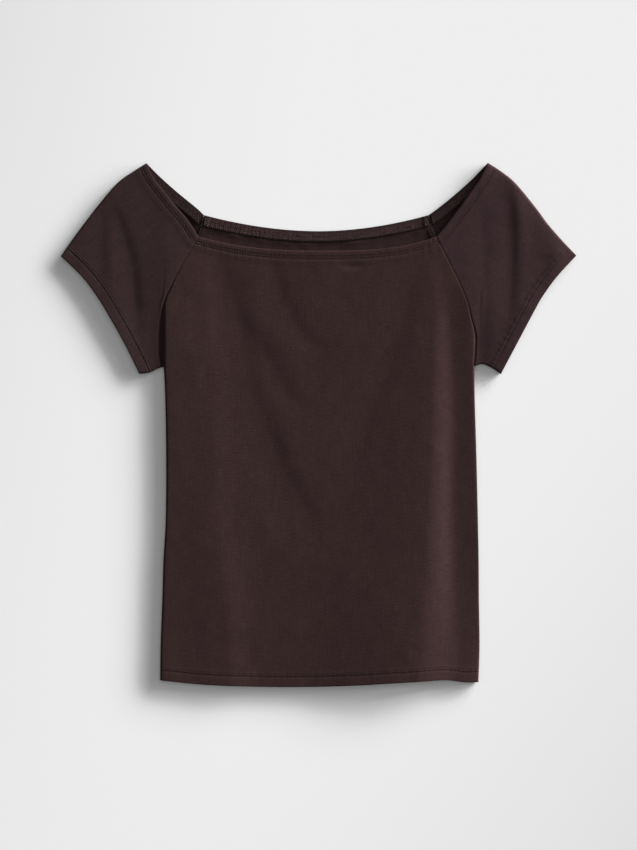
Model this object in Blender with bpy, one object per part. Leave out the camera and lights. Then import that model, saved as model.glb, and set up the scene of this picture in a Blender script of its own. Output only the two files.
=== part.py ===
"""An off-shoulder jersey top, laid flat on a surface with its front up.

Run with: blender --background --python part.py

Metres, +Z up. The hem points to -Y and the neck to +Y, and the wearer's right side is at -X. The origin is
on the surface, under the middle of the garment. Every cloth piece is a closed wall: its outer points are
worked out first, and its inner points are those moved in by the cloth's thickness.
"""

import math

import bmesh
import bpy
import numpy as np

# Cloth
WALL = 0.0010
HEM_WALL = 0.0014
NECK_WALL = 0.0019
SEAM_GAP = 0.00035
LAYER_GAP = 0.0003

# Turned and stitched edges
HEM_DEPTH = 0.0158
NECK_BAND_DEPTH = 0.0118
NECK_BAND_RISE = 0.0004
BAND_STEP = 0.0020
TURNING_DEPTH = 0.0118
TURNING_INSET = 0.0006
ALLOWANCE_WIDTH = 0.0055
ALLOWANCE_LENGTH = 0.0300

# How high the upper layer lies over the surface, and the soft rolls at the garment's edges
REST_HEIGHT = 0.0045
EDGE_SWELL = 0.0003
EDGE_SWELL_WIDTH = 0.0160
EDGE_SWELL_X = 0.1800
ROLL_WIDTH = 0.0026
ROLL_MIDDLE = 0.0025

# The sleeves tuck down beside the lower armholes, under the front's rolled edge
UNDERARM_Y = 0.0690
ARMHOLE_SEAM_HEIGHT = 0.0030
ARMHOLE_SLEEVE_HEIGHT = 0.0028
ARMHOLE_DIP_WIDTH = 0.0065
ARMHOLE_DIP_TOP = 0.1500
ROLL_FADE = 0.0220

# Neckline, at its lowest points in the middle
FRONT_NECK_LOW = 0.2055
BACK_NECK_LOW = 0.2286
BACK_NECK_POWER = 1.9

CLOTH_COLOUR = (0.0365, 0.0205, 0.0208, 1.0)
INSIDE_COLOUR = (0.0290, 0.0165, 0.0170, 1.0)
CLOTH_ROUGHNESS = 0.85

# Divisions of the walls
ROLL_STEPS = 4
PANEL_COLUMNS = {"front": 30, "back": 14}
SIDE_SEAM_ROWS = {"front": 10, "back": 7}
RAGLAN_ROWS = {"front": 9, "back": 5}
SLEEVE_NECK_COLUMNS = {"front": 7, "back": 5}
SLEEVE_ROWS = 8
TURNING_STEPS = 18


def table(columns, rows):
    """A short table as one array for each named column."""
    return dict(zip(columns.split(), np.array(rows, float).T))


# The hem from the wearer's right to left: where each point lies, as a share of the hem's width, and how
# far it hangs below the straight line between the hem's ends
HEM = table(
    "share sag",
    [
        (0.00, 0.0000),
        (0.14, 0.0049),
        (0.30, 0.0068),
        (0.45, 0.0068),
        (0.60, 0.0050),
        (0.72, 0.0021),
        (0.82, -0.0004),
        (0.895, -0.0024),
        (0.955, 0.0002),
        (1.00, 0.0000),
    ],
)

# Each side: its side seam from the hem up, and its raglan seams from the underarm to the neck, with x
# measured out from the middle. The sleeve's edges are straight lines between its corners, bowed out of
# the cloth by "out" at a share "along" the line, in the order cuff, fold, neck edge, underarm
SIDES = {
    "right": {
        "sign": -1,
        "side_seam": table(
            "x y",
            [
                (0.1868, -0.3010),
                (0.1863, -0.2600),
                (0.1843, -0.2065),
                (0.1829, -0.1590),
                (0.1803, -0.1120),
                (0.1797, -0.0410),
                (0.1808, 0.0295),
                (0.1826, UNDERARM_Y),
            ],
        ),
        "front_raglan": table(
            "x y",
            [
                (0.1826, UNDERARM_Y),
                (0.1824, 0.1250),
                (0.1813, 0.1470),
                (0.1750, 0.1615),
                (0.1598, 0.1910),
                (0.1412, 0.2222),
            ],
        ),
        "back_raglan": table(
            "x y",
            [
                (0.1826, UNDERARM_Y),
                (0.1795, 0.1220),
                (0.1560, 0.1860),
                (0.1409, 0.2280),
                (0.1352, 0.2476),
            ],
        ),
        "front_neck_power": 2.4,
        "cuff_bottom": (0.2112, 0.0602),
        "cuff_top": (0.3039, 0.1990),
        "neck_top": (0.2030, 0.3088),
        "cuff": table("along out", [(0.24, -0.0052), (0.49, -0.0083), (0.63, -0.0090), (0.80, -0.0072)]),
        "fold": table(
            "along out",
            [(0.16, 0.0032), (0.31, 0.0057), (0.55, 0.0087), (0.74, 0.0092), (0.86, 0.0056)],
        ),
        "front_neck": table("along out", [(0.17, -0.0028), (0.37, -0.0022), (0.58, -0.0010), (0.77, 0.0009)]),
        "back_neck": table("along out", [(0.23, -0.0012), (0.54, -0.0011), (0.87, 0.0003)]),
        "underarm": table("along out", [(0.30, 0.0006), (0.60, 0.0020)]),
    },
    "left": {
        "sign": 1,
        "side_seam": table(
            "x y",
            [
                (0.1887, -0.3032),
                (0.1900, -0.2600),
                (0.1893, -0.2065),
                (0.1890, -0.1590),
                (0.1881, -0.1120),
                (0.1865, -0.0410),
                (0.1844, 0.0295),
                (0.1838, UNDERARM_Y),
            ],
        ),
        "front_raglan": table(
            "x y",
            [
                (0.1838, UNDERARM_Y),
                (0.1850, 0.1050),
                (0.1802, 0.1294),
                (0.1738, 0.1510),
                (0.1600, 0.1815),
                (0.1390, 0.2222),
            ],
        ),
        "back_raglan": table(
            "x y",
            [
                (0.1838, UNDERARM_Y),
                (0.1800, 0.1220),
                (0.1555, 0.1860),
                (0.1365, 0.2280),
                (0.1300, 0.2476),
            ],
        ),
        "front_neck_power": 3.1,
        "cuff_bottom": (0.2150, 0.0600),
        "cuff_top": (0.3040, 0.1999),
        "neck_top": (0.1998, 0.3092),
        "cuff": table("along out", [(0.24, -0.0032), (0.50, -0.0066), (0.63, -0.0076), (0.80, -0.0058)]),
        "fold": table(
            "along out",
            [(0.15, 0.0001), (0.33, 0.0013), (0.49, 0.0043), (0.73, 0.0069), (0.87, 0.0046)],
        ),
        "front_neck": table(
            "along out",
            [(0.12, -0.0020), (0.25, -0.0032), (0.55, -0.0029), (0.87, -0.0018)],
        ),
        "back_neck": table("along out", [(0.30, -0.0022), (0.60, -0.0024), (0.84, -0.0014)]),
        "underarm": table("along out", [(0.14, -0.0036), (0.30, -0.0053), (0.63, -0.0039)]),
    },
}

# Soft folds of the upper layer. Each follows a few points: x, y, its height above the resting cloth, so a
# trough is negative, and how far it spreads to the wearer's right and left
FOLDS = {
    "side ridge": [
        (0.1340, 0.2100, 0.0001, 0.0250, 0.0100),
        (0.1320, 0.0000, 0.0014, 0.0600, 0.0160),
        (0.1220, -0.1500, 0.0026, 0.0850, 0.0260),
        (0.1080, -0.3200, 0.0040, 0.1000, 0.0400),
    ],
    "side hollow": [
        (0.1555, 0.1500, -0.0002, 0.0110, 0.0120),
        (0.1585, 0.0600, -0.0010, 0.0130, 0.0220),
        (0.1610, -0.1200, -0.0014, 0.0150, 0.0220),
        (0.1650, -0.2600, -0.0012, 0.0200, 0.0220),
        (0.1690, -0.3200, -0.0009, 0.0230, 0.0220),
    ],
    "right soft ridge": [
        (-0.1360, 0.2160, 0.0001, 0.0300, 0.0130),
        (-0.1280, 0.0200, 0.0006, 0.0500, 0.0190),
        (-0.1220, -0.1200, 0.0009, 0.0500, 0.0190),
        (-0.1040, -0.3200, 0.0011, 0.0500, 0.0180),
    ],
    "long diagonal": [
        (-0.1240, 0.2020, -0.0001, 0.0200, 0.0120),
        (-0.1000, 0.1450, -0.0008, 0.0350, 0.0150),
        (-0.0740, 0.0250, -0.0007, 0.0480, 0.0140),
        (-0.0280, -0.0840, -0.0007, 0.0400, 0.0130),
        (0.0020, -0.1250, -0.0001, 0.0300, 0.0120),
    ],
    "short diagonal": [
        (-0.0560, 0.1980, -0.0001, 0.0150, 0.0110),
        (-0.0330, 0.1240, -0.0005, 0.0220, 0.0120),
        (0.0180, 0.0850, -0.0001, 0.0180, 0.0110),
    ],
    "branch": [
        (-0.0920, 0.1250, -0.0001, 0.0150, 0.0120),
        (-0.0510, 0.0600, -0.0006, 0.0220, 0.0140),
        (-0.0080, 0.0060, -0.0001, 0.0200, 0.0120),
    ],
    "left diagonal": [
        (0.1130, 0.1800, -0.0001, 0.0200, 0.0110),
        (0.0830, 0.0700, -0.0005, 0.0220, 0.0120),
        (0.0460, -0.0400, -0.0001, 0.0180, 0.0110),
    ],
    "right sleeve trough": [
        (-0.2440, 0.2600, -0.0001, 0.0130, 0.0090),
        (-0.2210, 0.1800, -0.0008, 0.0180, 0.0100),
        (-0.2155, 0.0950, -0.0001, 0.0130, 0.0090),
    ],
    "right sleeve hollow": [
        (-0.2590, 0.2640, -0.0001, 0.0120, 0.0090),
        (-0.2565, 0.2160, -0.0005, 0.0140, 0.0090),
        (-0.2540, 0.1500, -0.0001, 0.0120, 0.0090),
    ],
    "left sleeve trough": [
        (0.2240, 0.2600, -0.0001, 0.0130, 0.0090),
        (0.2270, 0.1900, -0.0007, 0.0160, 0.0090),
        (0.2190, 0.1120, -0.0001, 0.0130, 0.0090),
    ],
    "left sleeve ridge": [
        (0.2290, 0.2850, 0.0002, 0.0090, 0.0120),
        (0.2360, 0.2500, 0.0006, 0.0090, 0.0120),
        (0.2340, 0.1600, 0.0001, 0.0090, 0.0120),
    ],
    "left sleeve tip": [
        (0.2550, 0.2800, -0.0004, 0.0240, 0.0400),
        (0.3040, 0.2000, -0.0009, 0.0480, 0.0400),
        (0.2780, 0.1500, -0.0006, 0.0350, 0.0400),
    ],
    "right sleeve tip": [
        (-0.2750, 0.2450, -0.0003, 0.0400, 0.0250),
        (-0.3040, 0.2000, -0.0006, 0.0400, 0.0400),
        (-0.2800, 0.1500, -0.0003, 0.0400, 0.0250),
    ],
}
FOLD_STEPS = np.linspace(0, 1, 25)

# How the sleeves' rows lie between the hem and the body, and how far the neck's turnings and the seam
# allowances lie from the seams' ends
SLEEVE_FIRST_ROW = 1.25
SLEEVE_LAST_ROW = 0.93
TURNING_SPAN = (0.11, 0.975)
TURNING_FROM_SEAM = 0.0016
ALLOWANCE_FROM_TURNING = 0.0035
MIDDLE_OF_EDGE = 0.45
CUFF_STEPS = 60


def smooth_step(share):
    """0 below 0, 1 above 1, and a soft rise between."""
    share = np.clip(share, 0.0, 1.0)
    return share * share * (3.0 - 2.0 * share)


def smooth_curve(points, shares):
    """Points at the given shares of the length of a smooth curve through a few given points."""
    points = np.asarray(points, float)
    ends = np.vstack([2 * points[0] - points[1], points, 2 * points[-1] - points[-2]])
    steps = np.linspace(0, 1, 17)[1:, None]
    fine = [points[:1]]
    for before, start, end, after in zip(ends, ends[1:], ends[2:], ends[3:]):
        turn = 2 * before - 5 * start + 4 * end - after
        tail = 3 * start - before - 3 * end + after
        fine.append(start + 0.5 * ((end - before) * steps + turn * steps**2 + tail * steps**3))
    fine = np.concatenate(fine)
    lengths = np.concatenate([[0.0], np.cumsum(np.linalg.norm(np.diff(fine, axis=0), axis=1))])
    wanted = np.asarray(shares, float) * lengths[-1]
    return np.stack([np.interp(wanted, lengths, fine[:, axis]) for axis in range(points.shape[1])], axis=-1)


def corner(side, name):
    x, y = SIDES[side][name]
    return np.array([x * SIDES[side]["sign"], y])


def seam_points(side, name, shares):
    """A side seam or raglan seam in plan, at shares of its length."""
    curve = SIDES[side][name]
    return smooth_curve(np.stack([curve["x"] * SIDES[side]["sign"], curve["y"]], axis=-1), shares)


def sleeve_edge(side, name, start, end, shares):
    """A bowed edge of a sleeve from start to end, clockwise round the right sleeve."""
    bow = SIDES[side][name]
    along = end - start
    length = np.linalg.norm(along)
    outward = np.array([-along[1], along[0]]) / length * -SIDES[side]["sign"]
    bowed = np.stack([bow["along"] * length, bow["out"]], axis=-1)
    local = smooth_curve(np.concatenate([[(0, 0)], bowed, [(length, 0)]]), shares)
    return start + along / length * local[:, :1] + outward * local[:, 1:]


def front_neck_y(x):
    """The front neck edge: level in the middle, and rising to its two corners."""
    right = seam_points("right", "front_raglan", [1.0])[0]
    left = seam_points("left", "front_raglan", [1.0])[0]
    middle = (right[0] + left[0]) / 2
    half = (left[0] - right[0]) / 2
    power = np.where(x < middle, SIDES["right"]["front_neck_power"], SIDES["left"]["front_neck_power"])
    return FRONT_NECK_LOW + (right[1] - FRONT_NECK_LOW) * np.abs((x - middle) / half) ** power


def back_neck_y(x):
    """The back neck edge, a wider curve that stands above the front one."""
    right = seam_points("right", "back_raglan", [1.0])[0]
    left = seam_points("left", "back_raglan", [1.0])[0]
    half = np.where(x < 0, -right[0], left[0])
    return BACK_NECK_LOW + (right[1] - BACK_NECK_LOW) * np.abs(x / half) ** BACK_NECK_POWER


def hem_sag(share):
    curve = smooth_curve(np.stack([HEM["share"], HEM["sag"]], axis=-1), np.linspace(0, 1, 81))
    return np.interp(share, curve[:, 0], curve[:, 1])


def hem_y(x):
    """The hem's edge in plan."""
    right = seam_points("right", "side_seam", [0.0])[0]
    left = seam_points("left", "side_seam", [0.0])[0]
    share = (x - right[0]) / (left[0] - right[0])
    return right[1] + (left[1] - right[1]) * share - hem_sag(share)


def fold_relief(x, y):
    """The height that the folds add to the cloth."""
    relief = np.zeros(np.shape(x))
    for points in FOLDS.values():
        line = smooth_curve(points, FOLD_STEPS)
        gaps = np.hypot(x[..., None] - line[:, 0], y[..., None] - line[:, 1])
        nearest = gaps.argmin(axis=-1)
        at_x, _, height, to_right, to_left = np.moveaxis(line[nearest], -1, 0)
        spread = np.where(x < at_x, to_right, to_left)
        relief += height * np.exp(-((gaps.min(axis=-1) / spread) ** 2))
    return relief


def upper_height(x, y):
    """Height of the upper layer's outer face: resting cloth, a swell along the sides, and the folds."""
    swell = EDGE_SWELL * np.exp(-(((np.abs(x) - EDGE_SWELL_X) / EDGE_SWELL_WIDTH) ** 2))
    return REST_HEIGHT + swell + fold_relief(x, y)


def rolled(y, top):
    """1 where an edge rolls over, below the height top in plan, and 0 where it stays flat."""
    return 1 - smooth_step((y - top) / ROLL_FADE)


def unit(vectors):
    return vectors / np.maximum(np.linalg.norm(vectors, axis=-1, keepdims=True), 1e-12)


def tangents(points, axis, ring=False):
    """The surface's direction along one axis of its grid, from the steps on both sides of each point."""
    steps = unit(np.diff(points, axis=axis))
    if ring:
        closing = unit(np.take(points, [0], axis) - np.take(points, [-1], axis))
        after = np.concatenate([steps, closing], axis)
        return unit(after + np.roll(after, 1, axis))
    first = np.take(steps, [0], axis)
    last = np.take(steps, [-1], axis)
    return unit(np.concatenate([first, steps], axis) + np.concatenate([steps, last], axis))


def normals(points, ring=False):
    """Normals of a grid, up where its columns run to +X and its rows to +Y."""
    return unit(np.cross(tangents(points, 1, ring), tangents(points, 0)))


def wall_object(name, outer, inner, material, parent, ring=False):
    """A closed cloth wall between two grids of points of the same size."""
    rows, columns = outer.shape[:2]
    points = np.concatenate([outer.reshape(-1, 3), inner.reshape(-1, 3)])
    inside = rows * columns
    strips = columns if ring else columns - 1

    def at(row, column):
        return row * columns + column % columns

    faces = []
    for row in range(rows - 1):
        for column in range(strips):
            quad = [at(row, column), at(row, column + 1), at(row + 1, column + 1), at(row + 1, column)]
            faces.append(quad)
            faces.append([inside + point for point in reversed(quad)])
    rims = [[at(row, column) for column in range(strips + 1)] for row in (0, rows - 1)]
    if not ring:
        rims += [[at(row, column) for row in range(rows)] for column in (0, columns - 1)]
    for rim in rims:
        faces += [[a, b, inside + b, inside + a] for a, b in zip(rim, rim[1:])]
    mesh = bpy.data.meshes.new(name)
    mesh.from_pydata(points.tolist(), [], faces)
    facing_out = bmesh.new()
    facing_out.from_mesh(mesh)
    bmesh.ops.recalc_face_normals(facing_out, faces=facing_out.faces)
    facing_out.to_mesh(mesh)
    facing_out.free()
    mesh.shade_smooth()
    mesh.set_sharp_from_angle(angle=math.radians(40))
    mesh.materials.append(material)
    wall = bpy.data.objects.new(name, mesh)
    bpy.context.scene.collection.objects.link(wall)
    wall.parent = parent
    return wall


def jersey(name, colour):
    """Matte dark brown jersey."""
    material = bpy.data.materials.new(name)
    material.use_nodes = True
    shader = material.node_tree.nodes["Principled BSDF"]
    shader.inputs["Base Color"].default_value = colour
    shader.inputs["Roughness"].default_value = CLOTH_ROUGHNESS
    shader.inputs["Metallic"].default_value = 0.0
    return material


def curve_length(points):
    return np.linalg.norm(np.diff(points, axis=0), axis=1).sum()


def raglan_shares(side, layer):
    """Where a raglan seam's rows meet it, from the underarm up, with closer rows in the neck's band."""
    length = curve_length(seam_points(side, f"{layer}_raglan", np.linspace(0, 1, 30)))
    from_neck = np.array([NECK_BAND_DEPTH, NECK_BAND_DEPTH - BAND_STEP, NECK_BAND_DEPTH * MIDDLE_OF_EDGE, 0])
    band = 1 - from_neck / length
    return np.concatenate([np.linspace(0, band[0], RAGLAN_ROWS[layer] + 1)[:-1], band])


def side_seam_shares(side, layer):
    """Where a side seam's rows meet it, from the hem up, with closer rows in the turned hem."""
    length = curve_length(seam_points(side, "side_seam", np.linspace(0, 1, 30)))
    hem = np.array([0, HEM_DEPTH * MIDDLE_OF_EDGE, HEM_DEPTH - BAND_STEP, HEM_DEPTH]) / length
    return np.concatenate([hem, np.linspace(hem[-1], 1, SIDE_SEAM_ROWS[layer] + 1)[1:-1]])


def panel_edge(side, layer):
    """The edge of a body panel from its hem, up the side seam and on up a raglan seam to the neck."""
    lower = seam_points(side, "side_seam", side_seam_shares(side, layer))
    upper = seam_points(side, f"{layer}_raglan", raglan_shares(side, layer))
    points = np.concatenate([lower, upper])
    points[:, 0] -= SIDES[side]["sign"] * SEAM_GAP
    return points


def panel_plan(layer, neck_y, roll_top):
    """Plan points of a body panel, a row for each row of its edges and a column across it.

    The cloth rolls over at both side edges. Also returns the roll's angle at each column: 0 on the seam and
    a right angle where the cloth lies flat. The first and last columns only serve the seam's normals.
    """
    right = panel_edge("right", layer)
    left = panel_edge("left", layer)
    columns = PANEL_COLUMNS[layer]
    roll = np.linspace(0, math.pi / 2, ROLL_STEPS + 1)
    angles = np.concatenate([[-roll[1]], roll, np.full(columns - 1, math.pi / 2), roll[::-1], [-roll[1]]])
    flat = np.linspace(0, 1, columns + 1)[1:-1]
    reach = ROLL_WIDTH * (1 - np.cos(roll))
    rows = []
    for start, end in zip(right, left):
        width = np.linalg.norm(end - start)
        before = reach[1] * (2 * rolled(start[1], roll_top) - 1)
        after = reach[1] * (2 * rolled(end[1], roll_top) - 1)
        middle = ROLL_WIDTH + flat * (width - 2 * ROLL_WIDTH)
        across = np.concatenate([[before], reach, middle, width - reach[::-1], [width - after]]) / width
        points = start + (end - start) * across[:, None]
        inside = np.clip(across, 0, 1)
        top = right[-1] + (left[-1] - right[-1]) * inside[:, None]
        up_raglan = (start[1] - UNDERARM_Y) / (right[-1][1] - UNDERARM_Y)
        down_side = (UNDERARM_Y - start[1]) / (UNDERARM_Y - right[0][1])
        points[:, 1] += (neck_y(top[:, 0]) - top[:, 1]) * smooth_step(up_raglan)
        points[:, 1] -= hem_sag(inside) * max(down_side, 0) ** 2
        rows.append(points)
    return np.array(rows), angles


def hem_share(x, y):
    """1 within the turned hem and 0 beyond it."""
    return 1 - smooth_step((y - hem_y(x) - HEM_DEPTH + BAND_STEP) / BAND_STEP)


def band_share(from_edge):
    """1 within the neck's turned band and 0 beyond it."""
    return 1 - smooth_step((from_edge - NECK_BAND_DEPTH + BAND_STEP) / BAND_STEP)


def build_front(material, parent):
    """The front panel: its sides roll down to the seams, and its neck edge is a raised elastic band."""
    plan, angles = panel_plan("front", front_neck_y, ARMHOLE_DIP_TOP)
    x, y = plan[..., 0], plan[..., 1]
    band = band_share(front_neck_y(x) - y)
    height = upper_height(x, y) + NECK_BAND_RISE * band
    seam_height = np.where(y < UNDERARM_Y, ROLL_MIDDLE + SEAM_GAP / 2, ARMHOLE_SEAM_HEIGHT)
    drop = (height - seam_height) * rolled(y, ARMHOLE_DIP_TOP)
    outer = np.dstack([plan, height - drop * (1 - np.sin(angles))])
    thickness = WALL + (HEM_WALL - WALL) * hem_share(x, y) + (NECK_WALL - WALL) * band
    inner = outer - normals(outer) * thickness[..., None]
    return wall_object("front", outer[:, 1:-1], inner[:, 1:-1], material, parent)


def build_back(material, parent):
    """The back panel: it lies flat on the surface, and its sides roll up to the seams."""
    plan, angles = panel_plan("back", back_neck_y, UNDERARM_Y)
    x, y = plan[..., 0], plan[..., 1]
    rise = (ROLL_MIDDLE - SEAM_GAP / 2) * rolled(y, UNDERARM_Y)
    outer = np.dstack([plan, rise * (1 - np.sin(angles))])
    thickness = WALL + (HEM_WALL - WALL) * hem_share(x, y)
    inner = outer + normals(outer) * thickness[..., None]
    return wall_object("back", outer[:, 1:-1], inner[:, 1:-1], material, parent)


def sleeve_body_edge(side, layer, shares):
    """A sleeve's edge towards the body, down from the neck's top corner, and where on it the seam starts."""
    top = corner(side, "neck_top")
    raglan = f"{layer}_raglan"
    junction = seam_points(side, raglan, [1.0])[0]
    seam_length = curve_length(seam_points(side, raglan, np.linspace(0, 1, 30)))
    neck_length = np.linalg.norm(junction - top)
    turn = neck_length / (neck_length + seam_length)
    on_neck = sleeve_edge(side, f"{layer}_neck", top, junction, np.clip(shares / turn, 0, 1))
    on_seam = seam_points(side, raglan, 1 - np.clip((shares - turn) / (1 - turn), 0, 1))
    return np.where((shares < turn)[:, None], on_neck, on_seam), turn


def sleeve_plan(side, layer, across, along):
    """Plan points of a sleeve's layer: across from its fold to the underarm, along from cuff to body."""
    cuff_top = corner(side, "cuff_top")
    cuff_bottom = corner(side, "cuff_bottom")
    neck_top = corner(side, "neck_top")
    underarm_end = seam_points(side, "side_seam", [1.0])[0]
    fold = sleeve_edge(side, "fold", cuff_top, neck_top, along)
    underarm = sleeve_edge(side, "underarm", underarm_end, cuff_bottom, 1 - along)
    cuff = sleeve_edge(side, "cuff", cuff_bottom, cuff_top, 1 - across)
    body, _ = sleeve_body_edge(side, layer, across)
    w = across[None, :, None]
    t = along[:, None, None]
    between_sides = (1 - w) * fold[:, None] + w * underarm[:, None]
    between_ends = (1 - t) * cuff[None] + t * body[None]
    corners = (1 - t) * ((1 - w) * cuff_top + w * cuff_bottom) + t * ((1 - w) * neck_top + w * underarm_end)
    return between_sides + between_ends - corners


def distance_to(line, points):
    """The distance in plan from each point to the nearest point of a finely drawn line."""
    return np.linalg.norm(points[..., None, :] - line, axis=-1).min(axis=-1)


def sleeve_height(side, x, y):
    """The sleeve's upper face, which dips beside the lower armhole where it tucks in."""
    height = upper_height(x, y)
    seam = seam_points(side, "front_raglan", np.linspace(0, 1, 60))
    from_seam = np.maximum(np.abs(x) - np.interp(y, seam[:, 1], np.abs(seam[:, 0])), 0)
    near = np.exp(-((from_seam / ARMHOLE_DIP_WIDTH) ** 2))
    return height - (height - ARMHOLE_SLEEVE_HEIGHT) * near * rolled(y, ARMHOLE_DIP_TOP - ROLL_FADE)


def within_rim(directions, rim):
    """Directions turned into the upright surface through a rim, whose own plan directions are given."""
    level = (directions[:, :2] * rim).sum(axis=1, keepdims=True) * rim
    return unit(np.column_stack([level, directions[:, 2]]))


def build_sleeve(side, material, parent):
    """A cap sleeve: one cloth folded along its top edge and closed under the arm, flattened on itself."""
    fold_length = np.linalg.norm(corner(side, "neck_top") - corner(side, "cuff_top"))
    hem_end = HEM_DEPTH / fold_length
    between = np.linspace(hem_end * SLEEVE_FIRST_ROW, SLEEVE_LAST_ROW, SLEEVE_ROWS)
    along = np.concatenate([[0, hem_end * MIDDLE_OF_EDGE, hem_end], between, [1]])
    roll = np.linspace(0, math.pi / 2, ROLL_STEPS + 1)
    reach = ROLL_WIDTH * (1 - np.cos(roll))

    def layer_plan(layer):
        turn = sleeve_body_edge(side, layer, np.array([0.0]))[1]
        on_neck = np.linspace(0, turn, SLEEVE_NECK_COLUMNS[layer] + 1)[1:-1]
        on_seam = 1 - raglan_shares(side, layer)[:0:-1] * (1 - turn)
        flat = np.concatenate([on_neck, on_seam])
        rows = []
        for share in along:
            ends = sleeve_plan(side, layer, np.array([0.0, 1.0]), np.array([share]))[0]
            near = reach / np.linalg.norm(ends[1] - ends[0])
            across = np.concatenate([near, flat, 1 - near[::-1]])
            rows.append(sleeve_plan(side, layer, across, np.array([share]))[0])
        angles = np.concatenate([roll, np.full(len(flat), math.pi / 2), roll[::-1]])
        return np.array(rows), np.sin(angles), turn

    top, top_rise, top_turn = layer_plan("front")
    under, under_rise, _ = layer_plan("back")
    neck_edge = sleeve_body_edge(side, "front", np.linspace(0, top_turn * 0.999, 40))[0]
    band = band_share(distance_to(neck_edge, top))
    height = sleeve_height(side, top[..., 0], top[..., 1]) + NECK_BAND_RISE * band
    upper = np.dstack([top, ROLL_MIDDLE + (height - ROLL_MIDDLE) * top_rise])
    under_height = np.broadcast_to(ROLL_MIDDLE * (1 - under_rise), under.shape[:2])
    lower = np.dstack([under, under_height])[:, -2:0:-1]
    outer = np.concatenate([upper, lower], axis=1)
    shares = np.linspace(0, 1, CUFF_STEPS)
    cuff = sleeve_edge(side, "cuff", corner(side, "cuff_bottom"), corner(side, "cuff_top"), shares)
    in_hem = 1 - smooth_step((distance_to(cuff, outer[..., :2]) - HEM_DEPTH + BAND_STEP) / BAND_STEP)
    thickness = WALL + (HEM_WALL - WALL) * in_hem
    thickness[:, : top.shape[1]] += (NECK_WALL - WALL) * band * top_rise**2
    inward = normals(outer, ring=True) * SIDES[side]["sign"]
    rims = np.concatenate([tangents(top, 1), tangents(under, 1)[:, -2:0:-1]], axis=1)
    for end in (0, -1):
        inward[end] = within_rim(inward[end], rims[end])
    inner = outer + inward * thickness[..., None]
    return wall_object(f"{side}_sleeve", outer, inner, material, parent, ring=True)


def inner_strip(name, line, depth, steps, material, parent):
    """A flat strip on the under layer's inner face, from a line in plan towards its right-hand side."""
    direction = tangents(line[:, None], 0)[:, 0]
    across = np.stack([direction[:, 1], -direction[:, 0]], axis=-1)
    plan = line[:, None] + across[:, None] * depth * np.linspace(0, 1, steps + 1)[None, :, None]
    height = np.full(plan.shape[:2], WALL + LAYER_GAP)
    return wall_object(name, np.dstack([plan, height + WALL]), np.dstack([plan, height]), material, parent)


def build_back_neck_turning(material, parent):
    """The back neck's turned edge, which shows inside the neck opening."""
    right = seam_points("right", "back_raglan", [1.0])[0]
    left = seam_points("left", "back_raglan", [1.0])[0]
    x = np.linspace(right[0] + TURNING_FROM_SEAM, left[0] - TURNING_FROM_SEAM, 2 * TURNING_STEPS)
    line = np.stack([x, back_neck_y(x) - TURNING_INSET], axis=-1)
    return inner_strip("back_neck_turning", line, TURNING_DEPTH, 3, material, parent)


def build_sleeve_neck_turning(side, material, parent):
    """A sleeve's turned neck edge on its under layer, from near the fold to the back raglan seam."""
    turn = sleeve_body_edge(side, "back", np.array([0.0]))[1]
    start, end = TURNING_SPAN
    line = sleeve_body_edge(side, "back", np.linspace(turn * start, turn * end, TURNING_STEPS))[0]
    direction = tangents(line[:, None], 0)[:, 0]
    if SIDES[side]["sign"] > 0:
        line = line[::-1]
        direction = -direction[::-1]
    inset = np.stack([direction[:, 1], -direction[:, 0]], axis=-1) * TURNING_INSET
    return inner_strip(f"{side}_neck_turning", line + inset, TURNING_DEPTH, 3, material, parent)


def build_seam_allowance(side, material, parent):
    """The overlocked allowance of a back raglan seam, inside below the neck's turned edge."""
    seam = seam_points(side, "back_raglan", np.linspace(1, 0, 400))
    run = np.concatenate([[0], np.cumsum(np.linalg.norm(np.diff(seam, axis=0), axis=1))])
    start = TURNING_DEPTH + ALLOWANCE_FROM_TURNING
    wanted = np.linspace(start, start + ALLOWANCE_LENGTH, 8)
    line = np.stack([np.interp(wanted, run, seam[:, axis]) for axis in range(2)], axis=-1)
    line[:, 0] -= SIDES[side]["sign"] * SEAM_GAP
    if SIDES[side]["sign"] < 0:
        line = line[::-1]
    return inner_strip(f"{side}_seam_allowance", line, ALLOWANCE_WIDTH, 1, material, parent)


def main():
    for old in list(bpy.data.objects):
        bpy.data.objects.remove(old, do_unlink=True)
    garment = bpy.data.objects.new("off_shoulder_top", None)
    bpy.context.scene.collection.objects.link(garment)
    build_back(jersey("back_jersey", CLOTH_COLOUR), garment)
    build_front(jersey("front_jersey", CLOTH_COLOUR), garment)
    build_back_neck_turning(jersey("back_turning_jersey", INSIDE_COLOUR), garment)
    for side in SIDES:
        build_sleeve(side, jersey(f"{side}_sleeve_jersey", CLOTH_COLOUR), garment)
        build_sleeve_neck_turning(side, jersey(f"{side}_turning_jersey", INSIDE_COLOUR), garment)
        build_seam_allowance(side, jersey(f"{side}_allowance_jersey", INSIDE_COLOUR), garment)


main()
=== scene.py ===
"""The looks of an off-shoulder jersey top that lies flat on a pale surface, seen from straight above.

Metres, +Z up, hem towards -Y and neck towards +Y. The wearer's right side is at -X.
"""

import math

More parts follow.
